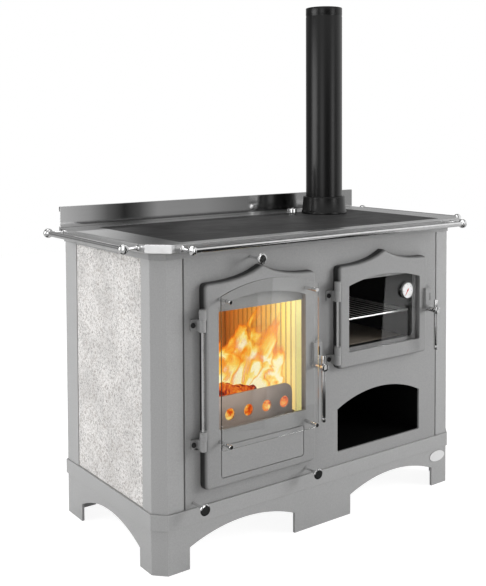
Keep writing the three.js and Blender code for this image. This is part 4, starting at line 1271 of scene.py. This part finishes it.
@dataclass
class Shell:
    """Panels, posts and stone sides of the body."""

    round_edge: float = 1.0
    rear_edge: float = 0.6
    stone_edge: float = 1.6
    stone_steps: int = 3
    screw_inset: float = 14.0
    screw_head: Profile = ((4.2, -0.2), (4.2, 0.8), (3.6, 1.7), (2.2, 2.2), (1.2, 2.3), (1.0, 1.2))

    def build(self) -> None:
        """Build the sheet parts, then the stones."""
        posts = ("post_front_left", "post_front_right", "post_rear_left", "post_rear_right")
        carry_over(posts, self.round_edge, FINISHES.post_paint_with_painted_light)
        carry_over(("front_panel", "top_frame"), self.round_edge, FINISHES.paint)
        carry_over(("rear_panel",), self.rear_edge, FINISHES.rear_paint)
        self.drive_rear_screws()
        for side in ("left", "right"):
            stone = Bench.refined(f"stone_panel_{side}", self.stone_edge, self.stone_steps)
            dress(stone, FINISHES.stone)

    def drive_rear_screws(self) -> None:
        """Set eight pan-headed screws along the edges of the rear sheet."""
        low, high = box_in_mm("rear_panel")
        columns = (low.x + self.screw_inset, (low.x + high.x) / 2, high.x - self.screw_inset)
        rows = (low.z + self.screw_inset, (low.z + high.z) / 2, high.z - self.screw_inset)
        places = [(x, z) for x in columns for z in rows if (x, z) != (columns[1], rows[1])]
        start_x, start_z = places[0]
        first = Bench.turned("screw", self.screw_head, (start_x, high.y, start_z), Way.BACKWARDS, sides=20)
        copies = [Bench.copied(first, "screw", (x - start_x, 0, z - start_z)) for x, z in places[1:]]
        dress(Bench.joined("rear_screws", [first, *copies]), FINISHES.dark_paint)


@dataclass
class Hob:
    """The steel top with its cooking plate, splashback and rails."""

    frame_edge: float = 1.0
    plate_edge: float = 0.7
    splashback_edge: float = 0.5
    rail_radius: float = 8.0
    cap_radius: float = 13.5
    cap_length: float = 15.0
    stem_radius: float = 4.5
    foot_radius: float = 8.5
    foot_thickness: float = 3.0

    def build(self) -> None:
        """Build the plates, then the three rails."""
        carry_over(("hob_frame",), self.frame_edge, FINISHES.stainless)
        carry_over(("hob_plate",), self.plate_edge, FINISHES.hob_steel)
        carry_over(("splashback",), self.splashback_edge, FINISHES.satin_steel)
        self.rail("rail_front", Way.RIGHT, Way.BACKWARDS)
        self.rail("rail_left", Way.BACKWARDS, Way.RIGHT)
        self.rail("rail_right", Way.BACKWARDS, Way.LEFT)

    def rail(self, node: str, along: Way, inwards: Way) -> None:
        """Turn a rail with its caps, and two stems with feet on the hob's edge.

        Args:
            node: The rail's node.
            along: The direction of the bar.
            inwards: The direction from the bar to the hob.
        """
        low, high = box_in_mm(node)
        half = abs((high - low).dot(along.vector)) / 2
        reach = abs((high - low).dot(inwards.vector))
        axis = (low + high) / 2 + inwards.vector * (self.cap_radius - reach / 2)
        axis.z = high.z - self.cap_radius
        cap = [
            (3.0, 0.0), (10.6, 0.4), (12.6, 1.6), (self.cap_radius, 3.6), (self.cap_radius, 10.4),
            (12.7, 12.2), (11.0, 13.2), (9.4, 13.6), (9.2, 17.0), (self.rail_radius, 18.0),
        ]
        far = [(radius, 2 * half - distance) for radius, distance in reversed(cap)]
        bar = Bench.turned("bar", cap + far, axis - along.vector * half, along, sides=32)
        foot = reach - self.cap_radius
        stem_profile = [
            (self.stem_radius, 2.0), (self.stem_radius, foot - 8), (5.4, foot - 6.4),
            (self.foot_radius - 1, foot - self.foot_thickness), (self.foot_radius, foot - 2),
            (self.foot_radius, foot),
        ]
        aside = along.vector * (half - self.cap_length / 2)
        stem = Bench.turned("stem", stem_profile, axis - aside, inwards, sides=24)
        whole = Bench.joined(f"{node}_finished", [bar, stem, Bench.copied(stem, "stem", aside * 2)])
        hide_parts(node)
        dress(whole, FINISHES.chrome)


@dataclass
class Flue:
    """The pipe in its cast collar and the damper beside it."""

    middle: Triple = (334.0, 154.25, 860.0)
    radius: float = 61.0
    wall: float = 2.0
    height: float = 693.0
    damper: Triple = (210.0, 176.25, 860.0)
    flap_bottom: float = -81.3
    flap_top: float = -25.3
    flap_half_width: float = 55.0
    flap_half_thickness: float = 1.5
    collar: Profile = (
        (56.0, 0.0), (75.0, 0.0), (76.0, 1.0), (76.0, 7.6), (74.8, 9.2), (73.6, 11.0), (70.4, 53.0),
        (70.0, 56.0), (69.0, 57.6), (67.0, 58.0), (62.4, 58.0), (61.4, 57.2), (61.4, 10.0), (56.0, 10.0),
        (56.0, 0.0),
    )
    knob: Profile = (
        (9.0, 0.0), (14.0, 0.4), (14.0, 3.0), (15.5, 4.6), (15.5, 17.6), (14.9, 19.2), (13.2, 20.0),
        (11.4, 20.0), (10.8, 19.5), (4.0, 19.3),
    )

    def build(self) -> None:
        """Build the collar, the pipe and the damper."""
        outer, inner = self.radius, self.radius - self.wall
        pipe = (
            (inner, 10.3), (outer, 10.3), (outer, 60.0), (outer, 662.0), (60.3, 664.0), (60.3, 667.0),
            (outer, 669.0), (outer, self.height - 1.6), (outer - 0.6, self.height),
            (inner + 0.4, self.height), (inner, self.height - 1.0), (inner, 10.3),
        )
        for node, profile in (("flue_collar", self.collar), ("flue_pipe", pipe)):
            piece = Bench.turned(f"{node}_finished", profile, self.middle, Way.UP, sides=72, hollow=True)
            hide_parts(node)
            dress(piece, FINISHES.flue_enamel)
        self.build_damper()

    def build_damper(self) -> None:
        """Turn the knob and its spindle, and hang the flap on it."""
        spindle = [(5.0, self.flap_bottom), (5.0, 1.0)]
        corner = Vector((self.flap_half_thickness, self.flap_half_width, 0))
        low = Vector(self.damper) - corner + Vector((0, 0, self.flap_bottom))
        high = Vector(self.damper) + corner + Vector((0, 0, self.flap_top))
        parts = [
            Bench.turned("damper_knob", self.knob, self.damper, Way.UP, sides=40),
            Bench.turned("damper_spindle", spindle, self.damper, Way.UP, sides=24),
            Bench.block("damper_flap", low, high, edge=0.6),
        ]
        whole = Bench.joined("flue_damper_finished", parts)
        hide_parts("flue_damper")
        dress(whole, FINISHES.chrome, "flue_damper")


@dataclass
class Firebox:
    """The lined firebox with its grate, its log retainer and the ash drawer."""

    sheet_edge: float = 0.8
    lining_edge: float = 0.7
    brick_edge: float = 1.6
    grate_edge: float = 1.0
    retainer_edge: float = 0.9

    def build(self) -> None:
        """Build the shell, the linings and the iron parts."""
        carry_over(("firebox_shell", "ash_drawer"), self.sheet_edge, FINISHES.dark_paint)
        carry_over(("lining_left", "lining_right"), self.lining_edge, FINISHES.side_lining)
        carry_over(("lining_back",), self.lining_edge, FINISHES.back_lining)
        carry_over(("hearth_brick", "smoke_baffle"), self.brick_edge, FINISHES.refractory)
        carry_over(("fire_grate",), self.grate_edge, FINISHES.cast_iron)
        carry_over(("log_retainer",), self.retainer_edge, FINISHES.retainer_steel)


@dataclass(frozen=True)
class BurningLog:
    """A burning log from end to end, in mm."""

    name: str
    start: Triple
    end: Triple
    radius: float


@dataclass(frozen=True)
class Sheet:
    """A sheet of flame: the middle of its foot and its size in mm, its angles in degrees."""

    foot: Triple
    width: float
    height: float
    lean: float
    turn: float


@dataclass
class Fire:
    """Burning logs, embers and flames behind the retainer, for looks only."""

    bed_low: Triple = (-400.5, -156.0, 336.0)
    bed_high: Triple = (-80.5, 90.0, 380.0)
    smooth_under: float = math.radians(60)
    logs: tuple[BurningLog, ...] = (
        BurningLog("log_front", (-322, -136, 428), (-196, -132, 402), 21),
        BurningLog("log_middle", (-330, 60, 400), (-120, -90, 410), 32),
        BurningLog("log_top", (-400, -30, 470), (-220, -80, 440), 26),
    )
    sheets: tuple[Sheet, ...] = (
        Sheet((-176, -114, 384), 150, 260, lean=16, turn=34),
        Sheet((-232, -104, 384), 150, 190, lean=30, turn=34),
        Sheet((-284, -112, 384), 130, 205, lean=16, turn=34),
        Sheet((-326, -104, 384), 110, 130, lean=24, turn=30),
        Sheet((-128, -116, 380), 100, 150, lean=6, turn=34),
        Sheet((-215, -74, 384), 200, 165, lean=14, turn=34),
        Sheet((-350, -60, 384), 120, 160, lean=4, turn=25),
    )

    def build(self) -> None:
        """Build the bed of embers, the logs and the sheets of flame."""
        self.lay_embers()
        for wood in self.logs:
            self.lay_log(wood)
        for number, sheet in enumerate(self.sheets):
            self.raise_flame(f"flame_{number + 1}", sheet)

    @staticmethod
    def roughen(piece: bpy.types.Object, size: float, strength: float, **settings: Value) -> None:
        """Push a surface about by a cloudy texture.

        Args:
            piece: The piece to roughen.
            size: The size of the clouds in mm.
            strength: How far they push, in mm.
            **settings: More properties of the modifier.
        """
        texture = bpy.data.textures.new(f"{piece.name}_clouds", "CLOUDS")
        texture.noise_scale = size * MM
        texture.noise_depth = 2
        settings.update(texture=texture, strength=strength * MM, mid_level=0.5, texture_coords="GLOBAL")
        Bench.apply(piece, "DISPLACE", **settings)

    def lay_embers(self) -> None:
        """Lay a heap of embers that reaches up behind the retainer's holes."""
        bed = Bench.block("ember_bed", self.bed_low, self.bed_high, edge=10)
        Bench.open(bed)
        bpy.ops.mesh.subdivide(number_cuts=24)
        Bench.close(bed)
        self.roughen(bed, size=22, strength=16)
        bpy.ops.object.shade_smooth_by_angle(angle=self.smooth_under)
        dress(bed, FINISHES.ember)

    def lay_log(self, wood: BurningLog) -> None:
        """Make one log with a rough bark.

        Args:
            wood: The log's name, ends and radius.
        """
        Bench.clear()
        start, end = Vector(wood.start), Vector(wood.end)
        line = end - start
        bpy.ops.mesh.primitive_cylinder_add(
            vertices=14,
            radius=wood.radius * MM,
            depth=line.length * MM,
            end_fill_type="TRIFAN",
            location=(start + end) / 2 * MM,
            rotation=Vector((0, 0, 1)).rotation_difference(line).to_euler(),
        )
        piece = Bench.begin(wood.name)
        bpy.ops.mesh.subdivide(number_cuts=3)
        Bench.close(piece)
        Bench.apply(piece, "SUBSURF", levels=1, render_levels=1)
        self.roughen(piece, size=30, strength=18)
        self.roughen(piece, size=8, strength=4)
        bpy.ops.object.shade_smooth_by_angle(angle=self.smooth_under)
        dress(piece, FINISHES.burning_log)

    def raise_flame(self, name: str, sheet: Sheet) -> None:
        """Make one sheet of flame.

        Args:
            name: The piece's name.
            sheet: Its place, size and angles.
        """
        Bench.clear()
        bpy.ops.mesh.primitive_grid_add(
            x_subdivisions=10,
            y_subdivisions=26,
            size=1,
            location=Vector(sheet.foot) * MM + Vector((0, 0, sheet.height / 2 * MM)),
            rotation=(math.radians(90), math.radians(sheet.lean), math.radians(-sheet.turn)),
        )
        bpy.context.active_object.scale = (sheet.width * MM, sheet.height * MM, 1)
        piece = Bench.begin(name)
        bpy.ops.object.mode_set(mode="OBJECT")
        self.roughen(piece, size=80, strength=40, direction="RGB_TO_XYZ")
        bpy.ops.object.shade_smooth()
        dress(piece, FINISHES.flame)
        piece.visible_shadow = False


@dataclass
class Oven:
    """The oven with its wire shelf, and the wood store under it."""

    box_edge: float = 0.8
    wire_edge: float = 0.3
    plate_edge: float = 0.5
    plate_low: Triple = (68.0, -150.0, 488.4)
    plate_high: Triple = (383.0, 210.0, 490.0)

    def build(self) -> None:
        """Build the two boxes, the shelf and the plate on the oven's floor."""
        carry_over(("oven_box", "wood_store_liner"), self.box_edge, FINISHES.oven_enamel)
        carry_over(("oven_shelf",), self.wire_edge, FINISHES.shelf_wire)
        plate = Bench.block("oven_floor_plate", self.plate_low, self.plate_high, self.plate_edge)
        dress(plate, FINISHES.oven_floor)


@dataclass
class DoorFurniture:
    """What a door hangs and closes with: brackets, rod, handle and keeper."""

    prefix: str
    bracket_middles: tuple[float, float]
    leaf_x: float
    grip_x: float
    grip_z: float
    grip_below: float
    grip_above: float = 33.0
    grip_ahead: float = 72.0
    bracket_edge: float = 0.7
    keeper_edge: float = 0.9
    screw_head: Profile = ((6.6, 5.9), (6.6, 9.0), (5.6, 11.0), (3.6, 12.4), (1.2, 12.8))
    spindle: Profile = (
        (5.0, 12.6), (5.0, 41.0), (7.2, 41.0), (8.0, 41.8), (8.0, 64.0), (7.2, 66.2), (5.0, 67.0),
    )
    hub: Profile = (
        (9.0, 66.0), (10.8, 66.6), (11.5, 68.0), (11.5, 79.6), (10.6, 81.4), (8.6, 82.0), (3.0, 82.0),
    )

    def build(self) -> None:
        """Build the brackets with their screws, the rod, the keeper and the handle."""
        brackets = [f"{self.prefix}_hinge_bracket_{place}" for place in ("upper", "lower")]
        carry_over(brackets, self.bracket_edge, FINISHES.paint)
        upper, lower = self.bracket_middles
        screw, place = f"{self.prefix}_hinge_screw", (self.leaf_x, FRONT_FACE, upper)
        first = Bench.turned(f"{screw}_upper", self.screw_head, place, Way.FORWARDS, sides=20)
        for piece in (first, Bench.copied(first, f"{screw}_lower", (0, 0, lower - upper))):
            dress(piece, FINISHES.dark_paint)
        carry_over((f"{self.prefix}_latch_keeper",), self.keeper_edge, FINISHES.paint)
        self.build_rod()
        self.build_handle()

    def build_rod(self) -> None:
        """Turn the hinge rod with rounded ends."""
        node = f"{self.prefix}_hinge_rod"
        low, high = box_in_mm(node)
        radius = (high.x - low.x) / 2
        length = high.z - low.z
        profile = [(radius - 1, 0.0), (radius, 1.0), (radius, length - 1.0), (radius - 1, length)]
        foot = ((low.x + high.x) / 2, (low.y + high.y) / 2, low.z)
        rod = Bench.turned(f"{node}_finished", profile, foot, Way.UP, sides=24)
        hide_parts(node)
        dress(rod, FINISHES.chrome)

    def build_handle(self) -> None:
        """Turn the spindle, the hub and the upright grip through it."""
        place = (self.grip_x, FRONT_FACE, self.grip_z)
        grip_place = (self.grip_x, ahead(self.grip_ahead), self.grip_z)
        low, high = -self.grip_below, self.grip_above
        grip = [
            (4.0, low), (5.4, low + 0.7), (6.0, low + 2.2), (6.0, low + 12), (5.7, low + 13), (6.0, low + 14),
            (6.0, -14.0), (6.0, 14.0), (6.0, high - 2.2), (5.4, high - 0.7), (4.0, high),
        ]
        parts = [
            Bench.turned("spindle", self.spindle, place, Way.FORWARDS, sides=28),
            Bench.turned("hub", self.hub, place, Way.FORWARDS, sides=36),
            Bench.turned("grip", grip, grip_place, Way.UP, sides=28),
        ]
        whole = Bench.joined(f"{self.prefix}_handle_finished", parts)
        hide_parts(f"{self.prefix}_handle")
        dress(whole, FINISHES.chrome, f"{self.prefix}_handle")


@dataclass
class Door:
    """What the two glazed doors have in common."""

    furniture: DoorFurniture
    casting_edge: float = 0.8
    pane_edge: float = 0.4

    def cast(self, body: str) -> None:
        """Build the casting and mark its outer walls, which get painted shade towards the sheet behind them.

        Args:
            body: The door's body.
        """
        casting = Bench.refined(f"{body}_frame", self.casting_edge)
        faces = casting.data.polygons
        middle = sum((Vector(corner) for corner in casting.bound_box), Vector()) / len(casting.bound_box)
        outwards = [Vector((face.center.x - middle.x, 0, face.center.z - middle.z)) for face in faces]
        shaded_walls = [face.normal.y > -0.8 and face.normal.dot(way) > 0 for face, way in zip(faces, outwards)]
        wall = casting.data.attributes.new("wall", "FLOAT", "FACE")
        wall.data.foreach_set("value", [float(marked) for marked in shaded_walls])
        dress(casting, FINISHES.door_paint, body)

    def glaze(self, node: str, body: str) -> None:
        """Build a pane that lets lamps through, as clear glass does, and mark its rim.

        Args:
            node: The pane's node.
            body: The door's body.
        """
        pane = Bench.refined(node, self.pane_edge)
        dress(pane, FINISHES.glass, body)
        rim = pane.data.attributes.new("rim", "FLOAT", "FACE")
        rim.data.foreach_set("value", [float(abs(face.normal.y) < 0.5) for face in pane.data.polygons])
        pane.visible_shadow = False
        pane.visible_diffuse = False


@dataclass
class FireDoor(Door):
    """The tall glazed door with its outer pane on four pins and its lower panel."""

    panel_edge: float = 1.0

    def build(self) -> None:
        """Build the casting, the panes, the pins and the furniture."""
        self.cast("fire_door")
        carry_over(("fire_door_lower_panel",), self.panel_edge, FINISHES.paint, "fire_door")
        self.glaze("fire_inner_glass", "fire_door")
        self.glaze("fire_outer_glass", "fire_door")
        self.set_pins()
        self.furniture.build()

    def set_pins(self) -> None:
        """Turn a pin with its head before the pane, and set all four."""
        nodes = [f"glass_pin_{row}_{column}" for row in ("top", "bottom") for column in ("left", "right")]
        low, high = box_in_mm(nodes[0])
        length = high.y - low.y
        profile = [
            (5.0, 0.0), (5.0, length - 8.0), (5.6, length - 8.0), (5.8, length - 7.6), (5.8, length - 0.8),
            (5.5, length - 0.2), (5.0, length), (4.8, length), (1.0, length),
        ]
        foot = ((low.x + high.x) / 2, high.y, (low.z + high.z) / 2)
        first = Bench.turned(f"{nodes[0]}_finished", profile, foot, Way.FORWARDS, sides=24)
        for pin in Bench.repeated(first, nodes):
            dress(pin, FINISHES.chrome, "fire_door")


@dataclass
class OvenDoor(Door):
    """The low glazed door with the thermometer behind its pane."""

    def build(self) -> None:
        """Build the casting, the pane and the furniture."""
        self.cast("oven_door")
        self.glaze("oven_glass", "oven_door")
        self.furniture.build()


@dataclass
class Thermometer:
    """The round dial with its scale and its needle."""

    place: tuple[float, float] = (322.0, 651.0)
    back: float = 19.7
    radius: float = 25.5
    lip_width: float = 2.6
    dial_face: float = 7.6
    dial_thickness: float = 0.12
    needle_edge: float = 0.12
    marks: int = 31
    long_every: int = 5
    mark_top: float = 20.6
    first_angle: float = 215.0
    sweep: float = 290.0

    def build(self) -> None:
        """Build the case with its bezel, the dial with its scale, and the needle."""
        x, z = self.place
        origin = (x, ahead(self.back), z)
        outer, lip = self.radius, self.radius - self.lip_width
        case = [
            (3.0, -24.0), (3.0, -0.2), (outer - 1, 0.0), (outer, 1.0), (outer, 8.6), (outer - 0.7, 9.7),
            (outer - 1.6, 10.0), (lip, 9.4), (lip, self.dial_face), (2.0, self.dial_face),
        ]
        body = Bench.turned("thermometer_case", case, origin, Way.FORWARDS, sides=56)
        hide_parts("thermometer")
        dress(body, FINISHES.bezel, "oven_door")
        rim, front = lip - 0.05, self.dial_face + self.dial_thickness
        face = [(rim, self.dial_face - 1.0), (rim, front), (1.0, front)]
        dial = Bench.turned("thermometer_dial", face, origin, Way.FORWARDS, sides=56)
        dress(dial, FINISHES.dial, "oven_door")
        self.mark_scale(origin)
        needle = "thermometer_needle"
        carry_over((needle,), self.needle_edge, FINISHES.needle_red, needle)

    def mark_scale(self, origin: Sequence[float]) -> None:
        """Set the marks of the scale round the dial, every fifth one longer.

        Args:
            origin: The middle of the case's back, in mm.
        """
        patterns = {True: self.make_mark(origin, 15.6, 0.45), False: self.make_mark(origin, 18.0, 0.22)}
        marks = []
        for number in range(self.marks):
            angle = math.radians(self.first_angle + self.sweep * number / (self.marks - 1))
            mark = Bench.copied(patterns[number % self.long_every == 0], "mark", (0, 0, 0))
            Bench.open(mark)
            bpy.ops.transform.rotate(value=-angle, orient_axis="Y", center_override=Vector(origin) * MM)
            bpy.ops.object.mode_set(mode="OBJECT")
            marks.append(mark)
        for pattern in patterns.values():
            Bench.take(pattern)
            bpy.ops.object.delete()
        dress(Bench.joined("thermometer_scale", marks), FINISHES.scale_ink, "oven_door")

    def make_mark(self, origin: Sequence[float], inner: float, half_width: float) -> bpy.types.Object:
        """Make an upright mark at the top of the dial.

        Args:
            origin: The middle of the case's back, in mm.
            inner: Where the mark starts, from the dial's middle, in mm.
            half_width: Half its width in mm.

        Returns:
            The mark.
        """
        x, y, z = origin
        front = y - self.dial_face - self.dial_thickness
        low = (x - half_width, front - 0.08, z + inner)
        high = (x + half_width, front + 0.05, z + self.mark_top)
        return Bench.block("mark", low, high, edge=0.03, segments=1)


@dataclass
class AirKnobs:
    """The three pull knobs that let air in."""

    stop: Profile = ((6.4, -41.3), (7.0, -40.7), (7.0, -36.3), (3.5, -36.3))
    stem: Profile = ((3.5, 17.0), (3.9, 27.0), (4.8, 36.0), (6.2, 43.0), (9.0, 48.5), (13.2, 52.2))
    disc: Profile = (
        (14.4, 53.2), (15.3, 54.2), (15.5, 55.2), (15.2, 56.4), (14.2, 57.5), (12.6, 58.3), (11.0, 58.7),
        (10.6, 58.7), (1.2, 58.7),
    )

    def build(self) -> None:
        """Turn one knob and set all three."""
        nodes = [f"air_knob_{place}" for place in ("top", "bottom_left", "bottom_right")]
        low, high = box_in_mm(nodes[0])
        place = ((low.x + high.x) / 2, FRONT_FACE, (low.z + high.z) / 2)
        profile = (*self.stop, *self.stem, *self.disc)
        first = Bench.turned(f"{nodes[0]}_finished", profile, place, Way.FORWARDS, sides=36)
        for knob, node in zip(Bench.repeated(first, nodes), nodes):
            dress(knob, FINISHES.chrome, node)


def main() -> None:
    """Build the studio and every sub-assembly."""
    logging.basicConfig(level=logging.INFO, format="%(message)s")
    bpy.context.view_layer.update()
    fire_furniture = DoorFurniture(
        "fire", bracket_middles=(641.3, 328.5), leaf_x=-455.5, grip_x=-64.0, grip_z=485.0, grip_below=155.0
    )
    oven_furniture = DoorFurniture(
        "oven", bracket_middles=(665.5, 480.0), leaf_x=15.5, grip_x=398.0, grip_z=588.0, grip_below=122.0
    )
    sub_assemblies = (
        Studio(), Base(), Shell(), Hob(), Flue(), Firebox(), Fire(), Oven(),
        FireDoor(fire_furniture), OvenDoor(oven_furniture), Thermometer(), AirKnobs(),
    )
    for part in sub_assemblies:
        part.build()
        log.info("%s built", type(part).__name__)


if __name__ == "__main__":
    main()
